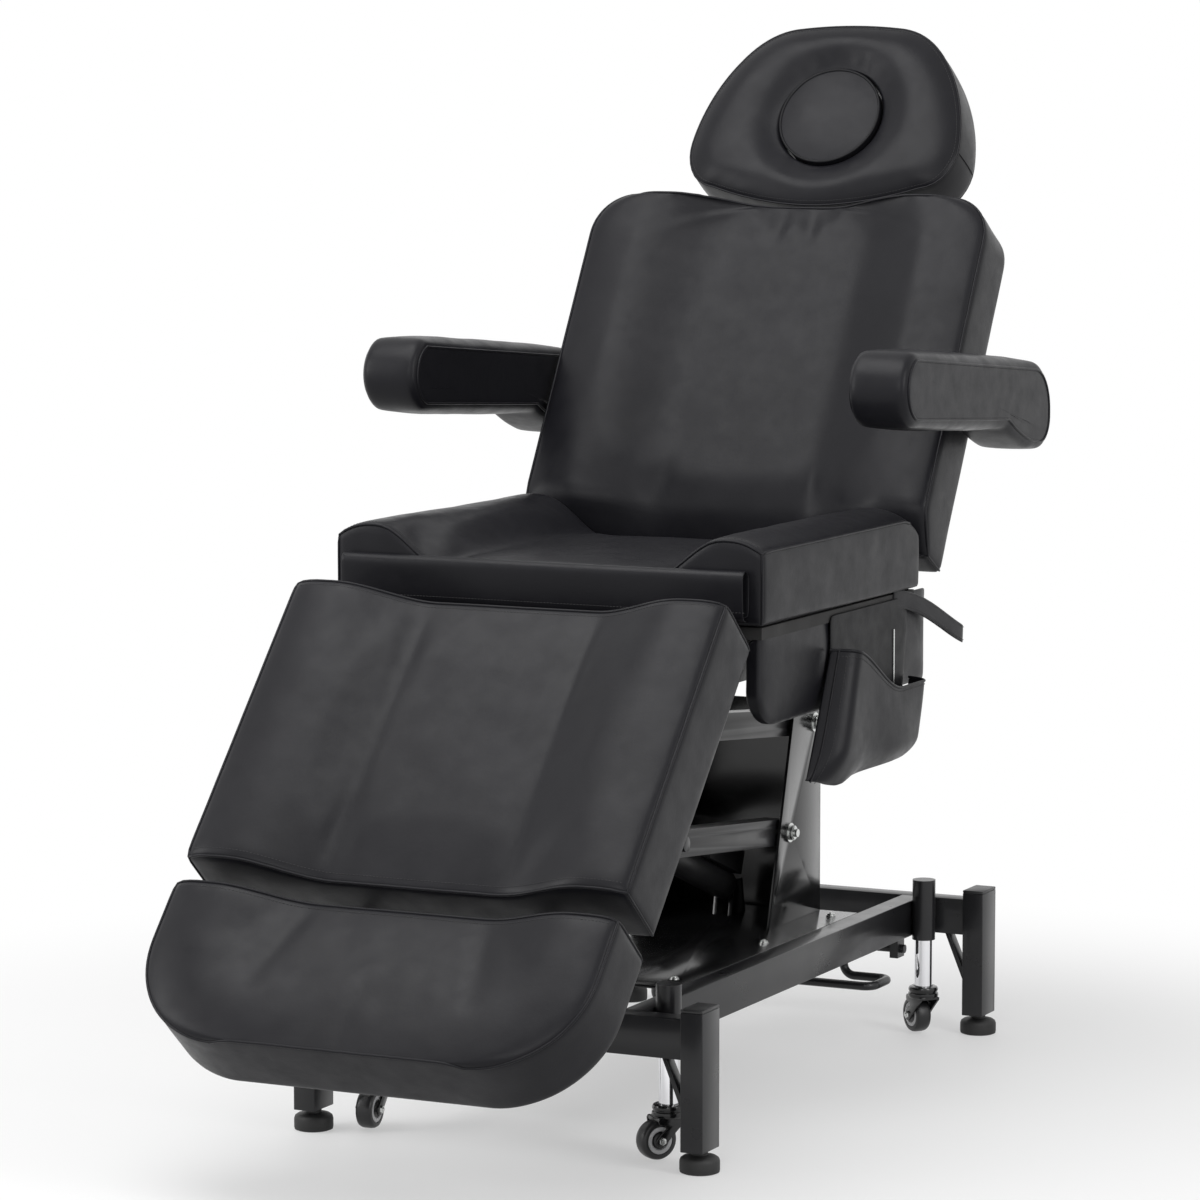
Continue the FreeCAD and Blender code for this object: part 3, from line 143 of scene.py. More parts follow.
def rampTo(tree, factor, low, high, socket, colour=False):
    # a noise, spread over a socket's values or mixed between two colours
    spread = tree.nodes.new("ShaderNodeMapRange")
    tree.links.new(factor, spread.inputs["Value"])
    spread.inputs["From Min"].default_value = noiseSpan[0]
    spread.inputs["From Max"].default_value = noiseSpan[1]
    if not colour:
        spread.inputs["To Min"].default_value = low
        spread.inputs["To Max"].default_value = high
        tree.links.new(spread.outputs["Result"], socket)
        return
    mix = tree.nodes.new("ShaderNodeMix")
    mix.data_type = "RGBA"
    for link in mix.inputs:
        if link.type == "RGBA":
            link.default_value = (*(low if link.name == "A" else high), 1)
    tree.links.new(spread.outputs["Result"], mix.inputs["Factor"])
    result = next(out for out in mix.outputs if out.type == "RGBA")
    tree.links.new(result, socket)


def bumpFrom(tree, shader, heights):
    # heights: (factor, distance in metres, strength), joined one after another
    before = None
    for factor, distance, strength in heights:
        bump = nodeIn(tree, "ShaderNodeBump", Strength=strength, Distance=distance)
        tree.links.new(factor, bump.inputs["Height"])
        if before:
            tree.links.new(before, bump.inputs["Normal"])
        before = bump.outputs["Normal"]
    tree.links.new(before, shader.inputs["Normal"])


def mottle(tree, shader, factor, colour, low, high):
    darker, lighter = (tuple(c * share for c in colour) for share in (low, high))
    rampTo(tree, factor, darker, lighter, shader.inputs["Base Color"], True)


# leather: cell size, noise scales, and each bump's distance and strength
leatherGrain = {"pore": 0.0014, "warp": 260, "crease": 38, "cloud": 5.5, "shine": 0.15,
                "poreBump": (0.0005, 0.16), "warpBump": (0.0006, 0.12), "creaseBump": (0.0016, 0.10)}


def leatherFinish(name, colour, roughness):
    shine = leatherGrain["shine"]
    material, tree, shader, place = startMaterial(name, colour, roughness, Specular_IOR_Level=shine)
    pores = nodeIn(tree, "ShaderNodeTexVoronoi", Scale=1 / leatherGrain["pore"])
    pores.feature = "DISTANCE_TO_EDGE"
    warp = noiseOn(tree, place, leatherGrain["warp"], 2)
    tree.links.new(place, pores.inputs["Vector"])
    creases = noiseOn(tree, place, leatherGrain["crease"], 5, 0.6)
    cloud = noiseOn(tree, place, leatherGrain["cloud"], 3)
    mottle(tree, shader, cloud, colour, 0.88, 1.14)
    rampTo(tree, creases, roughness - 0.05, roughness + 0.07, shader.inputs["Roughness"])
    bumpFrom(tree, shader, [(pores.outputs["Distance"], *leatherGrain["poreBump"]),
                            (warp, *leatherGrain["warpBump"]), (creases, *leatherGrain["creaseBump"])])
    return material


paintGrain = {"peel": 420, "dust": 14, "peelBump": (0.0004, 0.06), "coatRough": 0.12, "shine": 0.32}


def paintFinish(name, colour, roughness, coat=0.15):
    material, tree, shader, place = startMaterial(name, colour, roughness, Coat_Weight=coat,
                                                  Coat_Roughness=paintGrain["coatRough"],
                                                  Specular_IOR_Level=paintGrain["shine"])
    peel = noiseOn(tree, place, paintGrain["peel"], 2)
    dust = noiseOn(tree, place, paintGrain["dust"], 5)
    rampTo(tree, dust, roughness - 0.04, roughness + 0.08, shader.inputs["Roughness"])
    mottle(tree, shader, dust, colour, 0.9, 1.25)
    bumpFrom(tree, shader, [(peel, *paintGrain["peelBump"])])
    return material


metalGrain = {"wear": 60, "brush": 300, "brushBump": (0.0003, 0.12)}


def metalFinish(name, colour, roughness, brush=None):
    material, tree, shader, place = startMaterial(name, colour, roughness, Metallic=1.0)
    worn = noiseOn(tree, place, metalGrain["wear"], 4)
    rampTo(tree, worn, max(roughness - 0.04, 0.02), roughness + 0.07, shader.inputs["Roughness"])
    if brush:
        turn = nodeIn(tree, "ShaderNodeMapping", Scale=brush)
        tree.links.new(place, turn.inputs["Vector"])
        lines = noiseOn(tree, turn.outputs["Vector"], metalGrain["brush"], 2)
        bumpFrom(tree, shader, [(lines, *metalGrain["brushBump"])])
    return material


plasticGrain = {"wear": 22, "deep": 0.0004}


def plasticFinish(name, colour, roughness, texture=900, strength=0.14):
    material, tree, shader, place = startMaterial(name, colour, roughness)
    spark = noiseOn(tree, place, texture, 2)
    worn = noiseOn(tree, place, plasticGrain["wear"], 4)
    rampTo(tree, worn, roughness - 0.05, roughness + 0.08, shader.inputs["Roughness"])
    mottle(tree, shader, worn, colour, 0.9, 1.15)
    bumpFrom(tree, shader, [(spark, plasticGrain["deep"], strength)])
    return material


leather = leatherFinish("blackLeather", (0.0080, 0.0079, 0.0098), 0.36)
# painted shade: a darker, rougher copy of the leather for the head band's seam grooves, the welt groove round
# the face plug and the shaded inside of the side pocket
paintedShadeLeather = leatherFinish("shadeLeather", (0.0060, 0.0060, 0.0070), 0.48)
threadBlack = plasticFinish("blackThread", (0.012, 0.012, 0.013), 0.6, 1500, 0.3)
paint = paintFinish("satinBlackPaint", (0.0125, 0.0125, 0.0138), 0.30)
glossPaint = paintFinish("glossBlackPaint", (0.0065, 0.0065, 0.007), 0.17, 0.35)
chrome = metalFinish("brightChrome", (0.83, 0.83, 0.85), 0.07)
zinc = metalFinish("zincPlate", (0.62, 0.63, 0.62), 0.26, (1, 1, 0.05))
housing = plasticFinish("driveHousing", (0.016, 0.016, 0.017), 0.42)
casterBlack = plasticFinish("casterBlack", (0.012, 0.012, 0.013), 0.36)
casterGrey = plasticFinish("casterGrey", (0.60, 0.60, 0.61), 0.38)
casterHub = plasticFinish("casterHub", (0.045, 0.045, 0.047), 0.42)
casterGloss = paintFinish("casterGloss", (0.006, 0.006, 0.0065), 0.22, 0.4)
rubber = plasticFinish("footRubber", (0.011, 0.011, 0.011), 0.62, 500, 0.25)
ply = plasticFinish("stainedBoard", (0.0085, 0.0080, 0.0080), 0.75, 240, 0.3)
cordCover = plasticFinish("cordCover", (0.02, 0.02, 0.021), 0.5, 700, 0.12)
print("finishes made")


# hand control cord, the route of its solid
cordSpec = {"points": ((-0.3052, 0.020, 0.4595), (-0.3062, 0.021, 0.4155), (-0.3052, 0.024, 0.3475),
                       (-0.3017, 0.031, 0.2815), (-0.2917, 0.050, 0.2275), (-0.2757, 0.082, 0.2055),
                       (-0.260, 0.112, 0.232), (-0.250, 0.126, 0.290), (-0.244, 0.124, 0.358),
                       (-0.239, 0.115, 0.428), (-0.236, 0.106, 0.496), (-0.235, 0.101, 0.544),
                       (-0.235, 0.100, 0.578)),
            "diameter": 0.005, "length": 0.66}


def smoothCord(name, points, diameter, material):
    data = bpy.data.curves.new(name, "CURVE")
    data.dimensions = "3D"
    spline = data.splines.new("NURBS")
    spline.points.add(len(points) - 1)
    for point, place in zip(spline.points, points):
        point.co = (*(bedShift @ Vector(place)), 1)
    spline.order_u = 3
    spline.use_endpoint_u = True
    data.resolution_u = 12
    data.bevel_depth = diameter / 2
    data.bevel_resolution = 4
    data.use_fill_caps = True
    data.materials.append(material)
    return newObject(name, data)


handCord = smoothCord("handCord", cordSpec["points"], cordSpec["diameter"], cordCover)
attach(handCord, "seat")
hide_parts("handset_cord")
bedShift @ Vector(cordSpec["points"][0])
print("cord laid")

# places of the tilted rests, as the solids have them
backTurn = Matrix.Translation((0, 0.232, 0.660)) @ Matrix.Rotation(math.radians(-30), 4, "X")
legTurn = Matrix.Translation((0, -0.357, 0.645)) @ Matrix.Rotation(math.radians(48.3), 4, "X")


# a closed grid over a box, bent by a rule: rule(u, v, w) with each from 0 to 1
def boxGrid(name, counts, rule, material, spread=(None, None, None)):
    nu, nv, nw = counts

    def share(axis, index, count):
        t = index / count
        return spread[axis](t) if spread[axis] else t

    index = {}
    verts = []
    for i in range(nu + 1):
        for j in range(nv + 1):
            for k in range(nw + 1):
                if i in (0, nu) or j in (0, nv) or k in (0, nw):
                    index[i, j, k] = len(verts)
                    verts.append(rule(share(0, i, nu), share(1, j, nv), share(2, k, nw)))
    faces = []
    for i in range(nu):
        for j in range(nv):
            for k in (0, nw):
                quad = [index[i, j, k], index[i + 1, j, k], index[i + 1, j + 1, k], index[i, j + 1, k]]
                faces.append(quad if k else quad[::-1])
    for i in range(nu):
        for k in range(nw):
            for j in (0, nv):
                quad = [index[i, j, k], index[i + 1, j, k], index[i + 1, j, k + 1], index[i, j, k + 1]]
                faces.append(quad[::-1] if j else quad)
    for j in range(nv):
        for k in range(nw):
            for i in (0, nu):
                quad = [index[i, j, k], index[i, j + 1, k], index[i, j + 1, k + 1], index[i, j, k + 1]]
                faces.append(quad if i else quad[::-1])
    return meshFrom(name, verts, faces, material), index


def outward(thing):
    work = bmesh.new()
    work.from_mesh(thing.data)
    bmesh.ops.recalc_face_normals(work, faces=work.faces)
    work.to_mesh(thing.data)
    work.free()


coverCloth = {"quality": 4, "mass": 0.25, "stiff": 18.0, "pressure": 4.0, "frames": 20}


def inflate(thing, pinned, cap, bend=2.0, caps=None):
    # the cover is blown up like cloth between its seams, and no point goes further than its cap
    rest = [v.co.copy() for v in thing.data.vertices]
    held = thing.vertex_groups.new(name="seams")
    held.add(sorted(pinned), 1.0, "REPLACE")
    cloth = thing.modifiers.new("cover", "CLOTH")
    settings = cloth.settings
    settings.quality = coverCloth["quality"]
    settings.mass = coverCloth["mass"]
    settings.tension_stiffness = coverCloth["stiff"]
    settings.compression_stiffness = coverCloth["stiff"]
    settings.shear_stiffness = coverCloth["stiff"] / 2
    settings.bending_stiffness = bend
    settings.use_pressure = True
    settings.uniform_pressure_force = coverCloth["pressure"]
    settings.vertex_group_mass = "seams"
    settings.effector_weights.gravity = 0
    cloth.collision_settings.use_collision = False
    for number in range(1, coverCloth["frames"] + 1):
        scene.frame_set(number)
    graph = bpy.context.evaluated_depsgraph_get()
    blown = [v.co.copy() for v in thing.evaluated_get(graph).data.vertices]
    thing.modifiers.remove(cloth)
    scene.frame_set(1)
    for vertex, start, end in zip(thing.data.vertices, rest, blown):
        move = end - start
        most = caps.get(vertex.index, cap) if caps else cap
        if move.length > most:
            move *= most / move.length
        vertex.co = start + move
    thing.vertex_groups.clear()


def softWaves(thing, pinned, height, size):
    # slight unevenness of foam under the cover
    normals = [v.normal.copy() for v in thing.data.vertices]
    held = set(pinned)
    for vertex, normal in zip(thing.data.vertices, normals):
        if vertex.index not in held:
            vertex.co += normal * height * noise.fractal(vertex.co / size, 1.0, 2.0, 3)


def smoothed(thing):
    smooth = thing.modifiers.new("smooth", "SUBSURF")
    smooth.levels = 1
    smooth.render_levels = 1
    return baked(thing)


def seamTube(name, points, radius, material, closed=False):
    data = bpy.data.curves.new(name, "CURVE")
    data.dimensions = "3D"
    spline = data.splines.new("POLY")
    spline.points.add(len(points) - 1)
    for point, place in zip(spline.points, points):
        point.co = (*place, 1)
    spline.use_cyclic_u = closed
    data.bevel_depth = radius
    data.bevel_resolution = 2
    data.use_fill_caps = True
    data.materials.append(material)
    thing = newObject(name, data)
    graph = bpy.context.evaluated_depsgraph_get()
    mesh = bpy.data.meshes.new_from_object(thing.evaluated_get(graph))
    bpy.data.objects.remove(thing)
    mesh.polygons.foreach_set("use_smooth", [True] * len(mesh.polygons))
    return newObject(name, mesh)


def joined(name, things):
    work = bmesh.new()
    materials = []
    for thing in things:
        start = len(materials)
        materials += list(thing.data.materials)
        first = len(work.faces)
        work.from_mesh(thing.data)
        work.faces.ensure_lookup_table()
        for face in work.faces[first:]:
            face.material_index += start
    mesh = bpy.data.meshes.new(name)
    for material in materials:
        mesh.materials.append(material)
    work.to_mesh(mesh)
    work.free()
    for thing in things:
        bpy.data.objects.remove(thing)
    return newObject(name, mesh)


def nodeGroup(name, inputs, output):
    # a Geometry Nodes group: its tree, its inputs' identifiers, and the sockets at both ends
    tree = bpy.data.node_groups.new(name, "GeometryNodeTree")
    sockets = {}
    for label, kind in inputs.items():
        made = tree.interface.new_socket(label, in_out="INPUT", socket_type="NodeSocket" + kind)
        sockets[label] = made.identifier
    tree.interface.new_socket(output, in_out="OUTPUT", socket_type="NodeSocketGeometry")
    start = tree.nodes.new("NodeGroupInput")
    end = tree.nodes.new("NodeGroupOutput")
    return tree, sockets, start.outputs, end.inputs[output]


def copiesAt(tree, points, shape, finish, out, **settings):
    # a shape set at points, made real and given its finish
    put = tree.nodes.new("GeometryNodeInstanceOnPoints")
    for name, source in {"Points": points, "Instance": shape, **settings}.items():
        tree.links.new(source, put.inputs[name])
    real = tree.nodes.new("GeometryNodeRealizeInstances")
    tree.links.new(put.outputs["Instances"], real.inputs["Geometry"])
    dye = tree.nodes.new("GeometryNodeSetMaterial")
    tree.links.new(real.outputs["Geometry"], dye.inputs["Geometry"])
    tree.links.new(finish, dye.inputs["Material"])
    tree.links.new(dye.outputs["Geometry"], out)


def runGroup(thing, group, values):
    tree, sockets = group
    modifier = thing.modifiers.new(tree.name, "NODES")
    modifier.node_group = tree
    for label, value in values.items():
        modifier[sockets[label]] = value
    return baked(thing)


# stitches: short thread dashes set along a line
def stitchGroup():
    inputs = {"Line": "Geometry", "Pitch": "Float", "Thread length": "Float", "Thread radius": "Float",
              "Thread": "Material"}
    tree, sockets, start, out = nodeGroup("stitches", inputs, "Stitches")
    link = tree.links.new
    line = tree.nodes.new("GeometryNodeMeshToCurve")
    link(start["Line"], line.inputs["Mesh"])
    points = tree.nodes.new("GeometryNodeCurveToPoints")
    points.mode = "LENGTH"
    link(line.outputs["Curve"], points.inputs["Curve"])
    link(start["Pitch"], points.inputs["Length"])
    thread = nodeIn(tree, "GeometryNodeMeshUVSphere", Segments=6, Rings=4, Radius=1.0)
    size = tree.nodes.new("ShaderNodeCombineXYZ")
    link(start["Thread radius"], size.inputs["X"])
    link(start["Thread radius"], size.inputs["Y"])
    link(start["Thread length"], size.inputs["Z"])
    copiesAt(tree, points.outputs["Points"], thread.outputs["Mesh"], start["Thread"], out,
             Rotation=points.outputs["Rotation"], Scale=size.outputs["Vector"])
    return tree, sockets


stitches = stitchGroup()
stitchSpec = {"Pitch": 0.0046, "Thread length": 0.0016, "Thread radius": 0.00045, "Thread": threadBlack}


def stitchLine(name, points):
    edges = [(n, n + 1) for n in range(len(points) - 1)]
    mesh = bpy.data.meshes.new(name)
    mesh.from_pydata([tuple(p) for p in points], edges, [])
    return runGroup(newObject(name, mesh), stitches, stitchSpec)


dropReach = (0.08, 0.2)    # how far off a dropped point starts, and how far it may go


def onSurface(thing, points, toward, lift=0.0002):
    # drops points on a piece along a direction
    tree = BVHTree.FromObject(thing, bpy.context.evaluated_depsgraph_get())
    found = []
    for point in points:
        hit, normal, _, _ = tree.ray_cast(point - toward * dropReach[0], toward, dropReach[1])
        if hit is None:
            hit, normal, _, _ = tree.find_nearest(point)
        found.append(hit + normal * lift)
    return found


def snapped(thing, points, lift=0.0003):
    # brings a seam's points to the finished cover
    tree = BVHTree.FromObject(thing, bpy.context.evaluated_depsgraph_get())
    found = []
    for point in points:
        hit, normal, _, _ = tree.find_nearest(point)
        found.append(hit + normal * lift)
    return found


# pads: across is x, along runs down the pad, depth is its thickness
padBase = {"start": 0.0, "half": 0.300, "fall": 0.008, "ease": 0.034, "crest": 0.058, "slope": 0.130,
           "cap": 0.007, "round": None, "chamfer": None, "fade": None, "rearFall": None, "rows": ("front",)}
quarterTurn = Matrix.Rotation(math.radians(90), 4, "X")
halfTurn = Matrix.Rotation(math.pi, 4, "Z")
padShapes = {
    "seat": {**padBase, "node": "seat_cushion", "end": 0.512, "depth": 0.112, "fall": 0.016, "ease": 0.045,
             "rearFall": (0.022, 0.060), "dip": 0.053, "slope": 0.095, "counts": (56, 44, 8),
             "place": Matrix.Translation((0, -0.345, 0.658))},
    "back": {**padBase, "node": "back_cushion", "start": 0.012, "end": 0.533, "depth": 0.104, "dip": 0.041,
             "crest": 0.062, "slope": 0.140, "counts": (56, 48, 8), "round": 0.062, "chamfer": (0.050, 0.040),
             "place": backTurn @ Matrix.Translation((0, 0.003, 0)) @ quarterTurn, "rows": ()},
    "leg": {**padBase, "node": "leg_cushion", "start": 0.022, "end": 0.438, "depth": 0.110, "dip": 0.037,
            "counts": (56, 38, 8), "place": legTurn @ Matrix.Translation((0, 0, 0.007)) @ halfTurn,
            "rows": ("front", "rear")},
    "foot": {**padBase, "node": "foot_cushion", "start": 0.471, "end": 0.686, "depth": 0.104, "dip": 0.033,
             "counts": (56, 26, 8), "round": 0.130, "fade": 0.225, "cap": 0.006,
             "place": legTurn @ Matrix.Translation((0, 0, 0.012)) @ halfTurn},
}
padEdge = {"swell": 0.004, "inset": 0.002, "endFall": 0.002, "endWide": 0.022, "sideCap": 0.0012, "bend": 4.0,
           "waves": (0.0008, 0.07), "welt": 0.0018, "post": 0.0016, "weltStop": 3, "fill": 0.85,
           "rowIn": {"front": 0.008, "rear": -0.010}}


def padTop(spec, fromSide, keep):
    # height of the top over the base at a distance from the pad's side
    top = spec["depth"] - padEdge["swell"]
    fall = spec["fall"] * (1 - min(fromSide / spec["ease"], 1)) ** 2
    hollow = spec["dip"] * keep * smoothStep(spec["crest"], spec["crest"] + spec["slope"], fromSide)
    return top - fall - hollow


def padRule(spec):
    start, end, half, corner = spec["start"], spec["end"], spec["half"] - padEdge["inset"], spec["round"]

    def rule(u, v, w):
        along = start + (end - start) * v
        wide = half
        if corner:
            inward = max(end - along, 0.0)
            if inward < corner:
                wide = half - corner + math.sqrt(max(corner * corner - (corner - inward) ** 2, 0.0))
        x = (2 * u - 1) * wide
        keep = smoothStep(0.0, spec["fade"], end - along) if spec["fade"] else 1.0
        top = padTop(spec, wide - abs(x), keep)
        if spec["chamfer"]:
            run, drop = spec["chamfer"]
            top -= drop * max(0.0, 1 - (along - start) / run)
        if spec["rearFall"]:
            drop, run = spec["rearFall"]
            top -= drop * (1 - min((end - along) / run, 1)) ** 2
        ends = min(along - start, end - along)
        top -= padEdge["endFall"] * (1 - min(ends / padEdge["endWide"], 1)) ** 2
        return spec["place"] @ Vector((x, along, top * w))

    return rule


def cornerSpread(t):
    # more rows towards the rounded end
    return 1 - (1 - t) ** 1.6


def padWelts(key, pad, seamLine, postLines):
    # the seat's rear edge lies against the back, so its welt stops short of it
    nu, nv, _ = padShapes[key]["counts"]
    tucked = bool(padShapes[key]["rearFall"])
    stop = padEdge["weltStop"]
    rimLine = seamLine[2 * nu + nv + stop:] + seamLine[:nu + nv + 1 - stop] if tucked else seamLine
    welts = [seamTube(key + "Welt", rimLine, padEdge["welt"], leather, not tucked)]
    for number, line in enumerate(postLines):
        welts.append(seamTube(key + f"Post{number}", snapped(pad, line), padEdge["post"], leather))
    return welts


def makePad(key):
    spec = padShapes[key]
    spread = (None, cornerSpread if spec["round"] else None, None)
    pad, index = boxGrid(key + "Pad", spec["counts"], padRule(spec), leather, spread)
    outward(pad)
    nu, nv, nw = spec["counts"]
    rim = [(i, 0) for i in range(nu)] + [(nu, j) for j in range(nv)]
    rim += [(i, nv) for i in range(nu, 0, -1)] + [(0, j) for j in range(nv, 0, -1)]
    seam = [index[i, j, nw] for i, j in rim]
    corners = (0,) if spec["round"] or spec["rearFall"] else (0, nv)
    posts = [[index[i, j, k] for k in range(nw + 1)] for i in (0, nu) for j in corners]
    pinned = set(seam) | {n for (i, j, k), n in index.items() if k == 0}
    for post in posts:
        pinned |= set(post)
    verts = pad.data.vertices
    seamLine = [verts[n].co.copy() for n in seam]
    postLines = [[verts[n].co.copy() for n in post] for post in posts]
    sides = {n: padEdge["sideCap"] for (i, j, k), n in index.items() if i in (0, nu) and k < nw}
    inflate(pad, pinned, cap=spec["cap"], caps=sides, bend=padEdge["bend"])
    softWaves(pad, pinned, *padEdge["waves"])
    pad = smoothed(pad)
    seamLine = snapped(pad, seamLine)
    trims = padWelts(key, pad, seamLine, postLines)
    turn = spec["place"].to_3x3()
    down, along = turn @ Vector((0, 0, -1)), turn @ Vector((0, 1, 0))
    ends = {"front": seamLine[:nu + 1], "rear": seamLine[nu + nv:2 * nu + nv + 1]}
    for number, end in enumerate(spec["rows"]):
        line = [p + along * padEdge["rowIn"][end] for p in ends[end][1:-1]]
        trims.append(stitchLine(f"{key}Stitch{number}", onSurface(pad, line, down)))
    trim = joined(key + "Seams", trims)
    settle(pad, key, (spec["node"],), padEdge["fill"])
    settle(trim, key)
    print(key, "pad made", len(pad.data.polygons), "faces")


for key in padShapes:
    makePad(key)


def arcLine(first, middle, last, count):
    # points on the circle through three points, without the last one
    ax, ay, bx, by, cx, cy = *first, *middle, *last
    aa, bb, cc = ax * ax + ay * ay, bx * bx + by * by, cx * cx + cy * cy
    d = 2 * (ax * (by - cy) + bx * (cy - ay) + cx * (ay - by))
    ux = (aa * (by - cy) + bb * (cy - ay) + cc * (ay - by)) / d
    uy = (aa * (cx - bx) + bb * (ax - cx) + cc * (bx - ax)) / d
    radius = math.hypot(ax - ux, ay - uy)
    start = math.atan2(ay - uy, ax - ux)
    turn = (math.atan2(cy - uy, cx - ux) - start) % math.tau
    if (math.atan2(by - uy, bx - ux) - start) % math.tau > turn:
        turn -= math.tau
    angles = [start + turn * n / count for n in range(count)]
    return [(ux + radius * math.cos(angle), uy + radius * math.sin(angle)) for angle in angles]


def straightLine(first, last, count):
    return [(first[0] + (last[0] - first[0]) * n / count, first[1] + (last[1] - first[1]) * n / count)
            for n in range(count)]


def ringSkin(name, rings, material, closed=False):
    # a skin over rings with the same count of points, closed into a tube or capped at both ends
    count = len(rings[0])
    verts = [point for ring in rings for point in ring]
    faces = []
    for k in range(len(rings) if closed else len(rings) - 1):
        low, high = k * count, (k + 1) % len(rings) * count
        for n in range(count):
            m = (n + 1) % count
            faces.append((low + n, low + m, high + m, high + n))
    if not closed:
        faces.append(tuple(range(count))[::-1])
        faces.append(tuple(range((len(rings) - 1) * count, len(rings) * count)))
    thing = meshFrom(name, verts, faces, material)
    outward(thing)
    return thing


# head rest, round its face hole, in the back's own frame; its outline's arcs are shares of half and tall
headSpec = {"half": 0.205, "low": 0.545, "tall": 0.295, "front": -0.047, "rear": 0.046, "holeUp": 0.6925,
            "hole": 0.0765, "skin": 0.003, "dish": 0.050, "dishDeep": 0.017, "edgeFall": 0.016,
            "edgeWide": 0.046, "bulge": 0.012, "rearRound": 0.004, "rearShare": 0.985, "count": 120,
            "cap": 0.004, "bend": 5.0, "waves": (0.0004, 0.06), "welt": 0.0016, "rearWelt": 0.0014,
            "join": 0.0009, "joinTurns": (-14, 194), "rowIn": 0.005, "fill": 0.8,
            "arcs": (((0, 0.02), (0.45, 0.055), (0.78, 0.12), 40), ((0.78, 0.12), (0.94, 0.19), (1, 0.33), 24),
                     ((1, 0.33), (0.93, 0.58), (0.76, 0.81), 40),
                     ((0.76, 0.81), (0.62, 0.915), (0.36, 0.985), 24),
                     ((0.36, 0.985), (0.18, 0.9962), (0, 1), 14)),
            "frontSteps": (0, 0.04, 0.1, 0.17, 0.25, 0.34, 0.44, 0.54, 0.64, 0.73, 0.81, 0.88, 0.94, 0.98,
                           1.0),
            "bandSteps": (0.12, 0.28, 0.46, 0.64, 0.8, 0.92), "rearSteps": (0.9, 0.7, 0.45, 0.2, 0.0)}


def headReach():
    # the outline's distance from the hole's middle, all the way round
    half, low, tall = headSpec["half"], headSpec["low"], headSpec["tall"]
    side = [point for arc in headSpec["arcs"] for point in arcLine(*arc)]
    outline = side + [(0, 1)] + [(-x, z) for x, z in side[:0:-1]]
    polar = []
    for x, z in outline:
        px, pz = x * half, low + z * tall - headSpec["holeUp"]
        polar.append((math.atan2(pz, px) % math.tau, math.hypot(px, pz)))
    polar.sort()
    reach = []
    for n in range(headSpec["count"]):
        angle = math.tau * n / headSpec["count"]
        after = next((i for i, (a, _) in enumerate(polar) if a > angle), 0)
        a0, r0 = polar[after - 1]
        a1, r1 = polar[after]
        gap = (a1 - a0) % math.tau or 1
        reach.append(r0 + (r1 - r0) * ((angle - a0) % math.tau) / gap)
    return reach


def headRings():
    # rings over the front, round the band, over the rear and back through the hole, and which two are seams
    reach = headReach()
    count, hole, rear = headSpec["count"], headSpec["hole"], headSpec["rear"]
    face, dishDeep = headSpec["front"] + headSpec["skin"], headSpec["dishDeep"]

    def ring(share, depth):
        # share: how far from the hole's edge to the outline, 1 on the outline
        points = []
        for n in range(count):
            angle = math.tau * n / count
            r = hole + (reach[n] - hole) * share
            deep = depth(n) if callable(depth) else depth
            up = headSpec["holeUp"] + r * math.sin(angle)
            points.append(backTurn @ Vector((r * math.cos(angle), deep, up)))
        return points

    def frontDepth(share):
        def depth(n):
            wide = reach[n] - hole
            fromEdge, fromHole = wide * (1 - share), wide * share
            deep = face + headSpec["edgeFall"] * (1 - min(fromEdge / headSpec["edgeWide"], 1)) ** 2
            return deep + dishDeep * (1 - smoothStep(0, headSpec["dish"], fromHole)) ** 1.2
        return depth

    rings = [ring(share, frontDepth(share)) for share in headSpec["frontSteps"]]
    frontSeam = len(rings) - 1
    seamDepth = face + headSpec["edgeFall"]
    for t in headSpec["bandSteps"]:
        bulge = 1 + headSpec["bulge"] * math.sin(math.pi * min(t * 1.1, 1))
        rings.append(ring(bulge, seamDepth + (rear - headSpec["rearRound"] - seamDepth) * t))
    rings.append(ring(headSpec["rearShare"], rear - headSpec["rearRound"] / 2))
    rearSeam = len(rings) - 1
    rings += [ring(share, rear) for share in headSpec["rearSteps"]]
    rings += [ring(0.0, face + dishDeep + (rear - face - dishDeep) * t) for t in (0.75, 0.5, 0.25)]
    return rings, frontSeam, rearSeam


def makeHead():
    rings, frontSeam, rearSeam = headRings()
    count = headSpec["count"]
    head = ringSkin("headPad", rings, leather, closed=True)
    stiffRings = [frontSeam, 0, 1, *range(rearSeam, len(rings))]
    held = {k * count + n for k in stiffRings for n in range(count)}
    inflate(head, held, cap=headSpec["cap"], bend=headSpec["bend"])
    softWaves(head, held, *headSpec["waves"])
    head = smoothed(head)
    seamLine = snapped(head, rings[frontSeam])
    trims = [seamTube("headWelt", seamLine, headSpec["welt"], leather, True),
             seamTube("headRearWelt", snapped(head, rings[rearSeam]), headSpec["rearWelt"], leather, True)]
    middle = backTurn @ Vector((0, 0, headSpec["holeUp"]))
    for turn in headSpec["joinTurns"]:    # the band's joins at both sides
        n = round(turn / 360 * count) % count
        line = [rings[k][n] for k in range(frontSeam, rearSeam + 1)]
        line = onSurface(head, line, (middle - line[3]).normalized(), 0.0003)
        # the joins use the painted shade leather: darker lines for the shade in the seam grooves
        trims.append(seamTube("headJoin", line, headSpec["join"], paintedShadeLeather))
    seamDepth = headSpec["front"] + headSpec["skin"] + headSpec["edgeFall"]
    seamMiddle = backTurn @ Vector((0, seamDepth, headSpec["holeUp"]))
    inner = [p + (seamMiddle - p).normalized() * headSpec["rowIn"] for p in seamLine]
    inward = backTurn.to_3x3() @ Vector((0, 1, 0))
    trims.append(stitchLine("headStitch", onSurface(head, inner + inner[:1], inward)))
    settle(joined("headSeams", trims), "head")
    settle(head, "head", ("head_cushion",), headSpec["fill"])


makeHead()


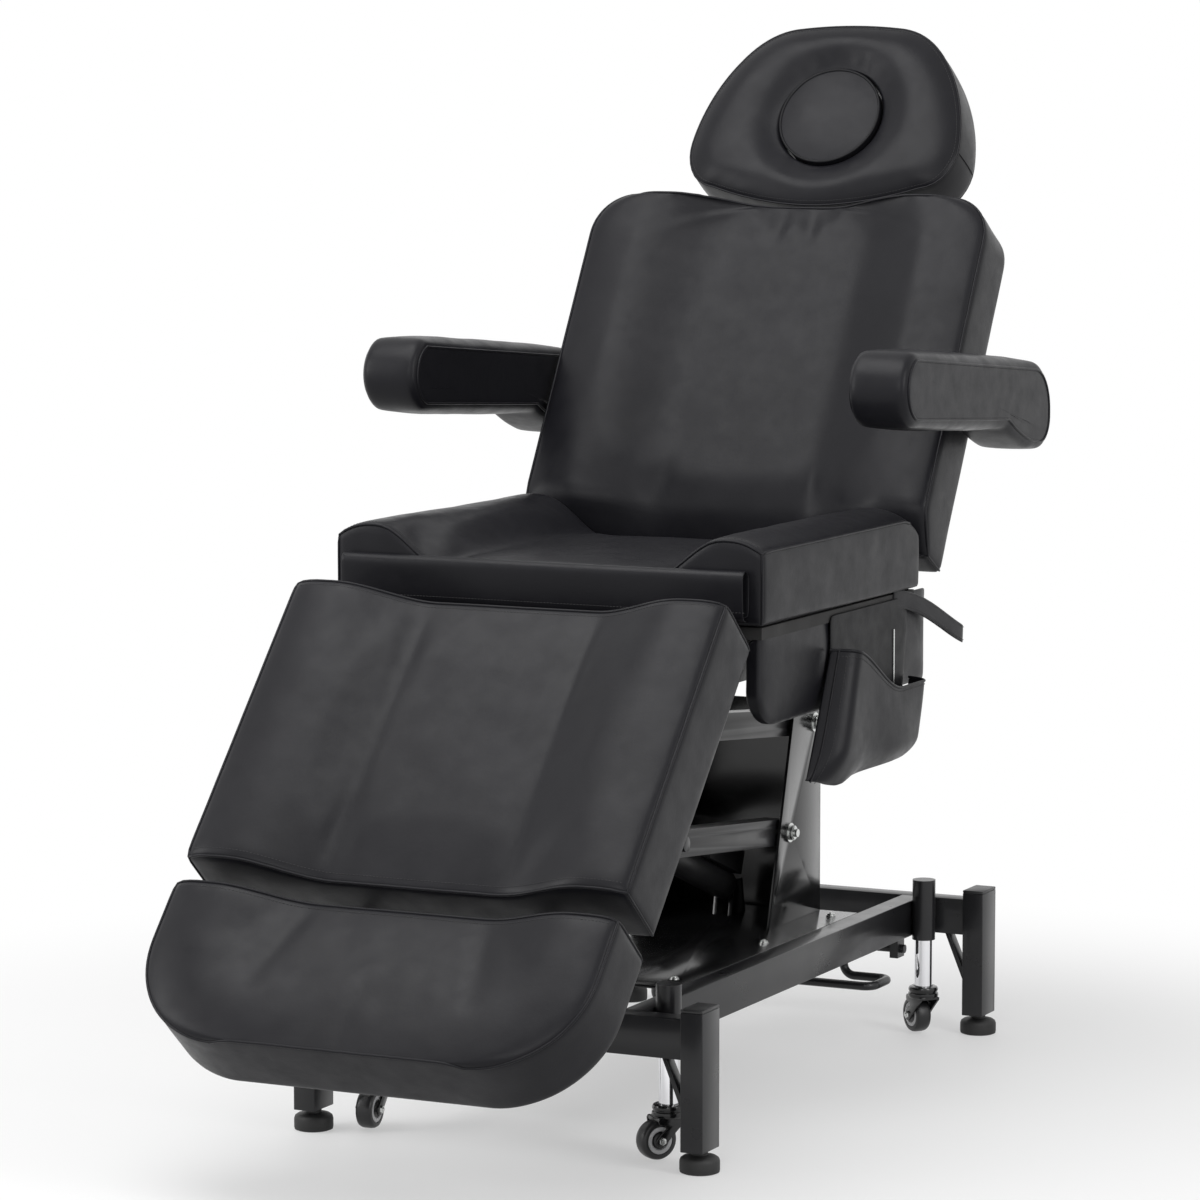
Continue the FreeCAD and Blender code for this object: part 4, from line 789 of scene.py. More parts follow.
def latheSkin(name, profile, place, material, count=64):
    # profile: (radius, height) from the middle of one end to the middle of the other
    verts, faces = [], []
    for radius, height in profile[1:-1]:
        for n in range(count):
            angle = math.tau * n / count
            verts.append(place @ Vector((radius * math.cos(angle), radius * math.sin(angle), height)))
    rows = len(profile) - 2
    for k in range(rows - 1):
        for n in range(count):
            m = (n + 1) % count
            faces.append((k * count + n, k * count + m, (k + 1) * count + m, (k + 1) * count + n))
    for row, (_, height) in ((0, profile[0]), (rows - 1, profile[-1])):
        tip = len(verts)
        verts.append(place @ Vector((0, 0, height)))
        for n in range(count):
            faces.append((tip, row * count + n, row * count + (n + 1) % count))
    thing = meshFrom(name, verts, faces, material)
    outward(thing)
    return thing


# plug that fills the face hole
plugSpec = {"radius": 0.0740, "front": -0.0322, "crown": 0.0060, "rear": 0.042, "round": 0.004,
            "count": 72, "cap": 0.003, "waves": (0.0005, 0.04), "welt": 0.0019, "weltIn": 0.0002,
            "weltCount": 96, "fill": 0.85,
            "steps": (0.06, 0.14, 0.24, 0.34, 0.44, 0.54, 0.64, 0.74, 0.82, 0.89, 0.94, 0.975, 1.0)}


def makePlug():
    place = backTurn @ Matrix.Translation((0, 0, headSpec["holeUp"]))
    place = place @ Matrix.Rotation(math.radians(-90), 4, "X")
    radius, front, rear, count = (plugSpec[k] for k in ("radius", "front", "rear", "count"))
    profile = [(0, front - plugSpec["crown"])]
    for share in plugSpec["steps"]:
        profile.append((radius * share, front - plugSpec["crown"] * (1 - share ** 2.6)))
    rim = len(profile) - 1
    profile += [(radius + 0.0004, front + 0.006), (radius, 0.0), (radius, rear - plugSpec["round"]),
                (radius - plugSpec["round"], rear), (radius * 0.5, rear), (0, rear)]
    plug = latheSkin("facePlug", profile, place, leather, count)
    held = {(k - 1) * count + n for k in range(rim, len(profile) - 1) for n in range(count)}
    inflate(plug, held, cap=plugSpec["cap"])
    softWaves(plug, held, *plugSpec["waves"])
    plug = smoothed(plug)
    edge = radius - plugSpec["weltIn"]
    angles = [math.tau * n / plugSpec["weltCount"] for n in range(plugSpec["weltCount"])]
    ringLine = [place @ Vector((edge * math.cos(angle), edge * math.sin(angle), front)) for angle in angles]
    # the welt round the plug uses the painted shade leather: darker for the shade in the groove round it
    settle(seamTube("plugWelt", ringLine, plugSpec["welt"], paintedShadeLeather, True), "plug")
    settle(plug, "plug", ("face_plug",), plugSpec["fill"])


makePlug()
print("head rest made")

# arm rests: the side outline as y and z, and the pad between x inner and x outer
armSpec = {"inner": 0.310, "outer": 0.390, "front": -0.115, "rear": 0.412, "top": 0.985, "fall": 0.040,
           "tall": 0.098, "heel": 0.034, "boneIn": (0.046, -0.049), "boneEnd": (0.345, 0.882), "seam": 0.0115,
           "roll": ((0.0014, 0.0066), (0.0040, 0.0028), (0.0085, 0.0006), (0.0140, 0.0)),
           "faceSteps": (0.42, 0.60, 0.76, 0.90), "middleSteps": (0.32, 0.5, 0.68), "cap": 0.004,
           "waves": (0.0006, 0.05), "welt": 0.0017, "fill": 0.85}


def armLine():
    front, rear, top, tall, heel = (armSpec[k] for k in ("front", "rear", "top", "tall", "heel"))
    nose, backTop, under = front + tall * 0.38, top - armSpec["fall"], top - tall
    low = backTop - tall - heel * 0.5
    shoulder, heelTop = (rear - 0.062, backTop + 0.005), (rear, backTop - 0.066)
    heelLow, heelIn = (rear, low + 0.046), (rear - 0.046, low)
    sole, rise = (rear - 0.080, low + 0.003), (rear - 0.165, low + heel + 0.003)
    line = arcLine((nose, under), (front, top - tall * 0.5), (nose, top), 18)
    line += straightLine((nose, top), shoulder, 30)
    line += arcLine(shoulder, (rear - 0.017, backTop - 0.018), heelTop, 12)
    line += straightLine(heelTop, heelLow, 4)
    line += arcLine(heelLow, (rear - 0.013, low + 0.012), heelIn, 10)
    line += straightLine(heelIn, sole, 4)
    line += arcLine(sole, (rear - 0.118, low + 0.015), rise, 9)
    return line + straightLine(rise, (nose, under), 22)


def makeArm(name, node, body, side):
    outline = armLine()
    count = len(outline)
    first = Vector((armSpec["front"], armSpec["top"])) + Vector(armSpec["boneIn"])
    run = Vector(armSpec["boneEnd"]) - first
    bones = []
    for y, z in outline:
        share = min(max((Vector((y, z)) - first).dot(run) / run.length_squared, 0), 1)
        bones.append(first + run * share)

    def ring(x, shrink, inset):
        points = []
        for (y, z), bone in zip(outline, bones):
            spot = Vector((y, z))
            way = bone - spot
            moved = spot + way * (1 - shrink) + way.normalized() * inset
            points.append(Vector((side * x, moved.x, moved.y)))
        return points

    inner, outer = armSpec["inner"], armSpec["outer"]
    seam, ends = armSpec["seam"], [(inner, 1), (outer, -1)]
    sides = []
    for edge, way in ends:
        skin = [ring(edge - way * 0.0005, shrink, seam * shrink) for shrink in armSpec["faceSteps"]]
        skin.append(ring(edge + way * 0.0003, 1, seam))
        skin += [ring(edge + way * deep, 1, inset) for deep, inset in armSpec["roll"]]
        sides.append(skin)
    middle = [ring(inner + (outer - inner) * share, 1, -0.0004) for share in armSpec["middleSteps"]]
    rings = sides[0] + middle + sides[1][::-1]
    seamA = len(armSpec["faceSteps"])
    seamB = len(rings) - 1 - seamA
    arm = ringSkin(name, rings, leather)
    held = {k * count + n for k in (seamA, seamB) for n in range(count)}
    flat = {k * count + n for k in (*range(seamA), *range(seamB + 1, len(rings))) for n in range(count)}
    lines = [[p.copy() for p in rings[k]] for k in (seamA, seamB)]
    inflate(arm, held | flat, cap=armSpec["cap"])
    softWaves(arm, held | flat, *armSpec["waves"])
    arm = smoothed(arm)
    trims = [seamTube(name + "Welt", snapped(arm, line), armSpec["welt"], leather, True) for line in lines]
    settle(joined(name + "Seams", trims), body)
    settle(arm, body, (node,), armSpec["fill"])


makeArm("armPadRight", "armrest_right", "arm_right", 1)
makeArm("armPadLeft", "armrest_left", "arm_left", -1)
print("arm rests made")

# padded skirts under both sides of the seat
skirtSpec = {"inner": 0.262, "outer": 0.290, "front": -0.330, "rear": 0.222, "bottom": 0.525, "top": 0.653,
             "round": 0.060, "board": 0.638, "lip": 0.2815, "inset": 0.003, "softWide": 0.016,
             "softDeep": 0.005, "counts": (52, 14, 3), "cap": 0.0025,
             "waves": (0.0009, 0.06), "fill": 0.6}


def makeSkirt(side):
    front, rear, bottom, top, corner = (skirtSpec[k] for k in ("front", "rear", "bottom", "top", "round"))
    inset = skirtSpec["inset"]

    def rule(u, v, w):
        y = front + inset + (rear - front - 2 * inset) * u
        low = bottom + inset
        gap = y - front
        if gap < corner:
            low += corner - math.sqrt(max(corner * corner - (corner - gap) ** 2, 0))
        z = low + (top - 0.001 - low) * v
        edge = min(y - front, rear - y, z - low + 0.002) / skirtSpec["softWide"]
        soft = skirtSpec["softDeep"] * (1 - min(edge, 1)) ** 2
        inner = skirtSpec["lip"] if z > skirtSpec["board"] else skirtSpec["inner"] + 0.002 + soft
        x = inner + (skirtSpec["outer"] - inset - soft - inner) * w
        return Vector((side * x, y, z))

    skirt, index = boxGrid("skirt", skirtSpec["counts"], rule, leather, (lambda t: t ** 1.35, None, None))
    outward(skirt)
    nu, nv, _ = skirtSpec["counts"]
    held = {n for (i, j, k), n in index.items() if j in (0, nv) or i in (0, nu)}
    inflate(skirt, held, cap=skirtSpec["cap"])
    softWaves(skirt, held, *skirtSpec["waves"])
    return smoothed(skirt)


settle(joined("sideSkirts", [makeSkirt(1), makeSkirt(-1)]), "seat", ("side_skirts",),
       skirtSpec["fill"])


def ribbonSheet(name, rows, material, thick):
    # a cloth sheet over rows of points, with a little thickness
    count = len(rows[0])
    verts = [p for row in rows for p in row]
    faces = [(k * count + n, k * count + n + 1, (k + 1) * count + n + 1, (k + 1) * count + n)
             for k in range(len(rows) - 1) for n in range(count - 1)]
    thing = meshFrom(name, verts, faces, material)
    solid = thing.modifiers.new("thickness", "SOLIDIFY")
    solid.thickness = thick
    solid.offset = 0
    thing = smoothed(thing)
    outward(thing)
    return thing


# the sleeve that hangs before the seat: front wall, fold at the top, rear wall
flapSpec = {"half": 0.281, "low": 0.6645, "bend": 0.7165, "high": 0.7265, "front": -0.3662, "rear": -0.3468,
            "thick": 0.0014, "flat": 0.150, "count": 60, "waveY": 0.0011, "waveZ": 0.0012}


def flapSection():
    # the sleeve cut across, as y and z, from the lower rear edge round the front and over the top
    front, rear, low, bend = (flapSpec[k] for k in ("front", "rear", "low", "bend"))
    radius, middle = (rear - front) / 2, (rear + front) / 2
    section = [(rear - 0.0040, low), (front + 0.0075, low), (front + 0.0022, low + 0.0040)]
    for t in (0, 0.25, 0.5, 0.75, 1):
        section.append((front + 0.0012 * (1 - t), low + 0.010 + (bend - low - 0.010) * t))
    for turn in (160, 135, 110, 90, 70, 45, 20):
        angle = math.radians(turn)
        section.append((middle + radius * math.cos(angle), bend + (flapSpec["high"] - bend) * math.sin(angle)))
    return section + [(rear, bend - 0.001), (rear - 0.0002, 0.702), (rear - 0.0006, 0.684),
                      (rear - 0.0012, low + 0.003)]


def makeFlap():
    section = flapSection()
    middle = (flapSpec["rear"] + flapSpec["front"]) / 2
    rows = []
    for n in range(flapSpec["count"] + 1):
        x = -flapSpec["half"] + 2 * flapSpec["half"] * n / flapSpec["count"]
        wave = flapSpec["waveY"] * noise.noise(Vector((x / 0.11, 0.3, 0)))
        droop = flapSpec["waveZ"] * noise.noise(Vector((x / 0.2, 2.0, 0)))
        row = []
        for y, z in section:
            hang = (flapSpec["high"] - z) / 0.06
            row.append(Vector((x, y + wave * hang * (0.6 if y > middle else 1.0), z + droop)))
        rows.append(row)
    flap = ribbonSheet("gapFlap", rows, leather, flapSpec["thick"])
    settle(flap, "seat", ("gap_flap",))
    hem = [row[3] + Vector((0, -0.0010, 0.002)) for row in rows]
    settle(stitchLine("flapHem", hem), "seat")


makeFlap()

# pull strap: one band folded once, that leaves the seam beside the seat
strapSpec = {"wide": 0.024, "thick": 0.0020, "flat": 0.44, "gap": 0.0026, "swell": 0.0012, "lean": 0.0030,
             "run": ((0.2905, 0.090, 0.6500), (0.2925, 0.120, 0.6470), (0.2960, 0.160, 0.6380),
                     (0.3000, 0.200, 0.6240), (0.3045, 0.240, 0.6060), (0.3080, 0.270, 0.5920),
                     (0.3105, 0.290, 0.5840)),
             "fold": (-0.0013, 0.0042, -0.0017), "rowOut": (0.0011, 0, 0)}


def makeStrap():
    outer = [Vector(place) for place in strapSpec["run"]]
    last = len(outer) - 1
    inner = []
    for n, spot in enumerate(outer):
        apart = strapSpec["gap"] + strapSpec["swell"] * math.sin(math.pi * n / last)
        inner.append(spot - Vector((apart, 0, 0)))
    line = outer + [outer[-1] + Vector(strapSpec["fold"])] + inner[:0:-1]
    rows = []
    for n, spot in enumerate(line):
        m = n if n <= last else 2 * (last + 1) - n    # the place on the outer run beside this point
        run = outer[-1] - outer[-2] if m > last else outer[min(m + 1, last)] - outer[max(m - 1, 0)]
        side = Vector((1, 0, 0)).cross(run).normalized() * strapSpec["wide"]
        lean = Vector((strapSpec["lean"], 0, 0)) * (spot.y - outer[0].y) / (outer[-1].y - outer[0].y)
        rows.append([spot + side * (t - 0.5) + lean * (0.5 - t) for t in (0, 0.08, 0.5, 0.92, 1)])
    strap = ribbonSheet("pullStrap", rows, leather, strapSpec["thick"])
    settle(strap, "seat", ("pull_strap",))
    out = Vector(strapSpec["rowOut"])
    threads = []
    for side in (1, 3):
        edge = [row[side].lerp(row[2], 0.12) + out for row in rows[:last + 1]]
        threads.append(stitchLine("strapRow", edge))
    settle(joined("strapStitches", threads), "seat")


makeStrap()

# side pocket: a bag on the right skirt, with a slanted mouth
pocketSpec = {"x": 0.2908, "deep": 0.036, "most": 0.0495, "front": -0.126, "rear": 0.140, "bottom": 0.439,
              "frontTop": 0.6060, "rearTop": 0.541, "slant": 0.076, "taper": 0.030, "panelTop": 0.650,
              "thick": 0.0018, "columns": 44, "lines": 26, "hem": 0.0019, "welt": 0.0014,
              "rowOut": (0.0012, 0, 0), "zipY": 0.088, "zipTop": 0.610, "zipLong": 0.085, "zip": 0.0013,
              "bagFlat": (0.33, 0.15), "panelFlat": (0.275, 0.19)}


def pocketSpot(u, v):
    # u goes round from the front seam to the rear seam, v from the bottom to the mouth
    front, rear, frontTop, rearTop = (pocketSpec[k] for k in ("front", "rear", "frontTop", "rearTop"))
    y = front + (rear - front) * u
    y -= (1 - v) * (pocketSpec["slant"] * (1 - u) + pocketSpec["taper"] * u)
    mouth = frontTop + (rearTop - frontTop) * smoothStep(0.0, 0.62, u)
    low = pocketSpec["bottom"] + 0.008 * max(0.0, 1 - u / 0.14) + 0.004 * smoothStep(0.4, 1, u)
    low += 0.014 * smoothStep(0.88, 1, u) ** 2    # the rear corner is lifted
    low -= 0.006 * math.exp(-((u - 0.24) / 0.10) ** 2)    # and it sags near the front
    z = low + (mouth - low) * v
    across = min(u / 0.10, 1, (1 - u) / 0.12)
    belly = (1 - (1 - across) ** 2.2) * (0.34 + 0.66 * (1 - (1 - min(v / 0.30, 1)) ** 2))
    belly *= 0.86 + 0.14 * math.sin(math.pi * (0.15 + 0.7 * v))
    out = 0.003 + pocketSpec["deep"] * belly
    fold = 0.0035 * math.sin((u * 2.4 + v * 0.7) * math.pi * 1.3) * (1 - v) * across
    return Vector((pocketSpec["x"] + min(out + fold, pocketSpec["most"]), y, z))


def pocketPanel():
    front, rear, low = pocketSpec["front"], pocketSpec["rear"], pocketSpec["bottom"] + 0.02
    x = pocketSpec["x"] + 0.0012
    rows = []
    for k in range(13):
        t = k / 12
        lean = pocketSpec["slant"] * max(0.0, 0.75 - t)
        z = low + (pocketSpec["panelTop"] - low) * t
        wide = rear - front - 0.008 + lean * 0.6
        rows.append([Vector((x, front + 0.004 - lean + wide * n / 12, z)) for n in range(13)])
    # the panel uses the painted shade leather: darker for the shaded inside of the pocket behind its mouth
    return ribbonSheet("pocketPanel", rows, paintedShadeLeather, pocketSpec["thick"])


def makePocket():
    columns, lines = pocketSpec["columns"], pocketSpec["lines"]
    rows = [[pocketSpot(n / columns, k / lines) for n in range(columns + 1)] for k in range(lines + 1)]
    base = [Vector((pocketSpec["x"] + 0.0022, p.y, p.z + 0.004)) for p in rows[0]]
    bag = ribbonSheet("sidePocket", [base] + rows, leather, pocketSpec["thick"])
    panel = pocketPanel()
    out = Vector(pocketSpec["rowOut"])
    hem = [pocketSpot(n / 60, 1) + Vector((0.0003, 0, 0)) for n in range(61)]
    hemRow = [pocketSpot(n / 60, 0.955) + out for n in range(1, 60)]
    sideRow = [pocketSpot(0.035, k / 20) + out for k in range(21)]
    sideWelt = [pocketSpot(0.015, k / 20) + out for k in range(21)]
    zipX, zipTop, zipLong = pocketSpec["x"] + 0.0028, pocketSpec["zipTop"], pocketSpec["zipLong"]
    zipLine = [Vector((zipX, pocketSpec["zipY"], zipTop - zipLong * n / 12)) for n in range(13)]
    trims = [seamTube("pocketHem", hem, pocketSpec["hem"], leather), stitchLine("pocketHemRow", hemRow),
             stitchLine("pocketSideRow", sideRow), seamTube("pocketZip", zipLine, pocketSpec["zip"], zinc),
             seamTube("pocketSideWelt", sideWelt, pocketSpec["welt"], leather)]
    settle(bag, "seat", ("side_pocket",))
    settle(panel, "seat")
    settle(joined("pocketTrim", trims), "seat")


makePocket()
print("skirts, sleeve, strap and pocket made")

# solids that show keep their shape, some with eased edges where light catches them
finishGroups = {paint: ("caster_sockets", "pedal_lugs", "pedal", "seat_frame", "head_bracket", "back_frame",
                        "leg_frame", "foot_frame"),
                chrome: ("caster_rods", "head_rods", "lift_rod", "back_rod", "leg_rod"),
                zinc: ("column_bolts",), ply: ("seat_board", "back_board", "leg_board")}
easedGroups = {paint: {"side_rails": 0.0014, "cross_rails": 0.0014, "leg_posts": 0.0014, "lower_arm": 0.0018,
                       "upper_arm": 0.0018, "lift_brackets": 0.0012},
               glossPaint: {"base_tray": 0.0008, "column": 0.0009},
               housing: {"lift_drive": 0.0035, "back_drive": 0.0025, "leg_drive": 0.0025, "control_box": 0.003,
                         "post_caps": 0.0012, "handset_holder": 0.0006}}
bodyOf = {name: body for body, names in frame["record"]["behaviour"]["bodies"].items() for name in names}


def easedEdges(thing, width):
    edges = thing.modifiers.new("edges", "BEVEL")
    edges.width = width
    edges.segments = 2
    edges.limit_method = "ANGLE"
    edges.angle_limit = math.radians(40)
    edges.use_clamp_overlap = True
    return baked(thing)


def finishNode(name, material):
    data = nodes[name].data
    data.materials.clear()
    data.materials.append(material)


def easedNode(name, width, material):
    # a copy of the solid with its edges rounded over
    work = bmesh.new()
    work.from_mesh(nodes[name].data)
    bmesh.ops.remove_doubles(work, verts=work.verts, dist=0.00001)
    bmesh.ops.dissolve_limit(work, angle_limit=math.radians(1), verts=work.verts, edges=work.edges)
    mesh = bpy.data.meshes.new(name + "Eased")
    work.to_mesh(mesh)
    work.free()
    mesh.materials.clear()
    mesh.materials.append(material)
    thing = easedEdges(newObject(name + "Eased", mesh), width)
    thing.data.polygons.foreach_set("use_smooth", [True] * len(thing.data.polygons))
    thing.data.set_sharp_from_angle(angle=math.radians(32))
    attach(thing, bodyOf[name])
    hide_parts(name)
    return thing


for material, names in finishGroups.items():
    for name in names:
        finishNode(name, material)
for material, widths in easedGroups.items():
    for name, width in widths.items():
        easedNode(name, width, material)
print("frame pieces finished")

# casters: a fork and a wheel each, turned as they stand
casterSpec = {"x": 0.206, "y": 0.418, "trail": 0.018, "wheelUp": 0.027, "halfWide": 0.0108,
              "eye": 0.0082, "cheek": (0.0120, 0.0152), "nutOut": 0.0168, "saddleHalf": 0.0124,
              "turns": {1: 230, 2: 120, 3: 326, 4: 5}}
casterSpots = {1: (1, 1), 2: (-1, 1), 3: (1, -1), 4: (-1, -1)}
# the wheel's layers: how far in its middle lies, then radius and how far in from the wheel's side
wheelLayers = {
    "tyre": (0.0030, ((0.0172, 0.0010), (0.0176, 0.0), (0.0208, 0.0), (0.0230, 0.0010), (0.0242, 0.0032),
                      (0.0248, 0.0066))),
    "ring": (0.0034, ((0.0118, 0.0016), (0.0122, 0.0004), (0.0168, 0.0004), (0.0172, 0.0012))),
    "hub": (0.0006, ((0.0060, 0.0006), (0.0066, 0.0014), (0.0086, 0.0020), (0.0112, 0.0020),
                     (0.0117, 0.0012))),
}
layerFinish = {"tyre": (casterBlack, 64), "ring": (casterGrey, 56), "hub": (casterHub, 48)}
# turned shapes as radius and height, flat ones as y and z
crownProfile = ((0, 0.0525), (0.0150, 0.0525), (0.0186, 0.0532), (0.0206, 0.0550), (0.0212, 0.0580),
                (0.0208, 0.0606), (0.0192, 0.0618), (0.0192, 0.0626), (0.0204, 0.0640), (0.0207, 0.0664),
                (0.0196, 0.0690), (0.0170, 0.0702), (0.0138, 0.0700), (0.0129, 0.0688), (0.0129, 0.0616),
                (0, 0.0616))
stemProfile = ((0, 0.0612), (0.0049, 0.0612), (0.0049, 0.0845), (0, 0.0845))
nutProfile = ((0, -0.0020), (0.0030, -0.0020), (0.0050, -0.0016), (0.0052, 0.0006), (0.0046, 0.0014),
              (0.0026, 0.0016), (0.0024, 0.0028), (0, 0.0030))
cheekRear = [(0.0200, 0.0560), (-0.0215, 0.0560), (-0.0232, 0.0528), (-0.0224, 0.0478), (-0.0190, 0.0462),
             (-0.0130, 0.0452), (-0.0110, 0.0420)]
cheekFront = [(0.0040, 0.0380), (0.0140, 0.0470), (0.0196, 0.0520)]
saddleLine = [(0.0196, 0.0524), (0.0196, 0.0560), (-0.0212, 0.0560), (-0.0228, 0.0528), (-0.0222, 0.0500),
              (-0.0200, 0.0524)]


def cheekPlate(name, outline, inner, outer, place, ease):
    # a flat plate between two x values, its outline as y and z
    count = len(outline)
    verts = [place @ Vector((x, y, z)) for x in (inner, outer) for y, z in outline]
    faces = [list(range(count)), list(range(count, 2 * count))]
    faces += [(n, (n + 1) % count, count + (n + 1) % count, count + n) for n in range(count)]
    thing = meshFrom(name, verts, faces, casterGloss)
    outward(thing)
    return easedEdges(thing, ease)


def makeWheel(number, across):
    half = casterSpec["halfWide"]
    layers = []
    for name, (middleIn, points) in wheelLayers.items():
        side = [(radius, half - into) for radius, into in points]
        profile = [(0, middleIn - half)] + [(a, -b) for a, b in side] + side[::-1] + [(0, half - middleIn)]
        layers.append(latheSkin(name, profile, across, *layerFinish[name]))
    wheel = joined(f"casterWheel{number}", layers)
    wheel.data.set_sharp_from_angle(angle=math.radians(40))
    settle(wheel, f"wheel_{number}", (f"caster_wheel_{number}",))


def makeFork(number, stemPlace, across):
    trail, up, eye = casterSpec["trail"], casterSpec["wheelUp"], casterSpec["eye"]
    parts = [latheSkin("crown", crownProfile, stemPlace, casterGloss, 48),
             latheSkin("stem", stemProfile, stemPlace, zinc, 20)]
    angles = [math.radians(turn) for turn in range(160, 341, 30)]
    cheek = cheekRear + [(eye * math.cos(a) - trail, up + eye * math.sin(a)) for a in angles] + cheekFront
    for way in (-1, 1):
        inner, outer = (way * x for x in casterSpec["cheek"])
        parts.append(cheekPlate("cheek", cheek, inner, outer, stemPlace, 0.0008))
        axle = across @ Matrix.Translation((0, 0, way * casterSpec["nutOut"]))
        parts.append(latheSkin("axleNut", [(radius, way * out) for radius, out in nutProfile], axle, zinc, 6))
    half = casterSpec["saddleHalf"]
    parts.append(cheekPlate("saddle", saddleLine, -half, half, stemPlace, 0.0006))
    fork = joined(f"casterFork{number}", parts)
    fork.data.set_sharp_from_angle(angle=math.radians(42))
    settle(fork, f"swivel_{number}", (f"caster_fork_{number}",))


def makeCaster(number):
    sx, sy = casterSpots[number]
    stemPlace = Matrix.Translation((sx * casterSpec["x"], sy * casterSpec["y"], 0))
    stemPlace = stemPlace @ Matrix.Rotation(math.radians(casterSpec["turns"][number]), 4, "Z")
    place = stemPlace @ Matrix.Translation((0, -casterSpec["trail"], casterSpec["wheelUp"]))
    across = place @ Matrix.Rotation(math.radians(90), 4, "Y")
    makeWheel(number, across)
    makeFork(number, stemPlace, across)


for number in casterSpots:
    makeCaster(number)

# glide feet under the posts
glideSpec = {"x": 0.270, "y": 0.465,
             "profile": ((0, 0.0), (0.0215, 0.0), (0.0245, 0.0012), (0.025, 0.004), (0.025, 0.0145),
                         (0.0238, 0.0180), (0.0205, 0.0203), (0.0130, 0.0216), (0.0102, 0.0222),
                         (0.0098, 0.0290), (0, 0.0290))}


def makeGlides():
    feet = []
    for sx in (1, -1):
        for sy in (1, -1):
            place = Matrix.Translation((sx * glideSpec["x"], sy * glideSpec["y"], 0))
            feet.append(latheSkin("glide", glideSpec["profile"], place, rubber, 48))
    glides = joined("glideFeet", feet)
    glides.data.set_sharp_from_angle(angle=math.radians(50))
    settle(glides, "base", ("glide_feet",))


makeGlides()
print("casters and feet made")

# hand control: case, buttons with pale outlines and signs, and a ribbed strain relief
handBlack = plasticFinish("handBlack", (0.0125, 0.0128, 0.0145), 0.4, 1400, 0.1)
buttonBlack = plasticFinish("buttonBlack", (0.011, 0.0135, 0.0138), 0.46, 1600, 0.08)
reliefGrey = plasticFinish("reliefGrey", (0.12, 0.12, 0.125), 0.5, 900, 0.1)
outlineGreen = plasticFinish("outlineGreen", (0.13, 0.30, 0.26), 0.4, 900, 0.05)
signGrey = plasticFinish("signGrey", (0.50, 0.56, 0.59), 0.45, 900, 0.05)
handSpec = {"front": -0.3172, "rear": -0.2934, "y": 0.020, "z": 0.565, "half": 0.0825, "side": 0.026,
            "waist": 0.022, "shoulder": 0.86,
            "rearSteps": ((0.0, 0.0075), (0.0, 0.0040), (0.0012, 0.0016), (0.004, 0.0004), (0.010, 0.0),
                          (0.0102, 0.0004), (0.0106, 0.0)),
            "frontSteps": ((0.0065, 0.0), (0.0036, 0.0008), (0.0016, 0.0024), (0.0005, 0.0044), (0.0, 0.0075),
                           (0.0, 0.012))}
reliefSpec = {"x": -0.3052, "top": 0.4845, "low": 0.4597, "wide": 0.0056, "tip": 0.0030, "ribs": 6,
              "first": 0.0022, "pitch": 0.0036, "smallest": 0.66, "grow": 0.072,
              "rib": 0.0054, "ribThick": 0.0009}


def handLine(inset):
    side, end, mid = handSpec["side"] - inset, handSpec["half"] - inset, handSpec["waist"] - inset
    shoulder = end * handSpec["shoulder"]
    nose, bend, bendUp = side * 0.3, side * 0.72, end * 0.97
    line = arcLine((side, -shoulder), (mid, 0), (side, shoulder), 22)
    line += arcLine((side, shoulder), (bend, bendUp), (nose, end), 12)
    line += straightLine((nose, end), (-nose, end), 5)
    line += arcLine((-nose, end), (-bend, bendUp), (-side, shoulder), 12)
    line += arcLine((-side, shoulder), (-mid, 0), (-side, -shoulder), 22)
    line += arcLine((-side, -shoulder), (-bend, -bendUp), (-nose, -end), 12)
    line += straightLine((-nose, -end), (nose, -end), 5)
    return line + arcLine((nose, -end), (bend, -bendUp), (side, -shoulder), 12)


def ribGroup():
    # rings of a falling size down a strain relief
    inputs = {"Line": "Geometry", "Ring radius": "Float", "Ring thickness": "Float", "Finish": "Material"}
    tree, sockets, start, out = nodeGroup("reliefRibs", inputs, "Ribs")
    link = tree.links.new
    outer = nodeIn(tree, "GeometryNodeCurvePrimitiveCircle", Resolution=28)
    inner = nodeIn(tree, "GeometryNodeCurvePrimitiveCircle", Resolution=8)
    link(start["Ring radius"], outer.inputs["Radius"])
    link(start["Ring thickness"], inner.inputs["Radius"])
    tube = tree.nodes.new("GeometryNodeCurveToMesh")
    link(outer.outputs["Curve"], tube.inputs["Curve"])
    link(inner.outputs["Curve"], tube.inputs["Profile Curve"])
    points = tree.nodes.new("GeometryNodeMeshToPoints")
    link(start["Line"], points.inputs["Mesh"])
    size = tree.nodes.new("GeometryNodeInputNamedAttribute")
    size.data_type = "FLOAT"
    size.inputs["Name"].default_value = "size"
    copiesAt(tree, points.outputs["Points"], tube.outputs["Mesh"], start["Finish"], out,
             Scale=size.outputs["Attribute"])
    return tree, sockets


def makeRelief():
    x, y, top, low = reliefSpec["x"], handSpec["y"], reliefSpec["top"], reliefSpec["low"]
    wide, tip, count = reliefSpec["wide"], reliefSpec["tip"], reliefSpec["ribs"]
    profile = [(0, low), (tip, low), (tip + 0.0004, low + 0.001), (wide, top - 0.002), (wide, top), (0, top)]
    relief = latheSkin("relief", profile, Matrix.Translation((x, y, 0)), reliefGrey, 28)
    mesh = bpy.data.meshes.new("ribLine")
    heights = [low + reliefSpec["first"] + reliefSpec["pitch"] * n for n in range(count)]
    mesh.from_pydata([(x, y, z) for z in heights], [], [])
    sizes = mesh.attributes.new("size", "FLOAT", "POINT")
    sizes.data.foreach_set("value", [reliefSpec["smallest"] + reliefSpec["grow"] * n for n in range(count)])
    ribs = runGroup(newObject("ribs", mesh), ribGroup(), {"Ring radius": reliefSpec["rib"],
                                                          "Ring thickness": reliefSpec["ribThick"],
                                                          "Finish": reliefGrey})
    return [relief, ribs]


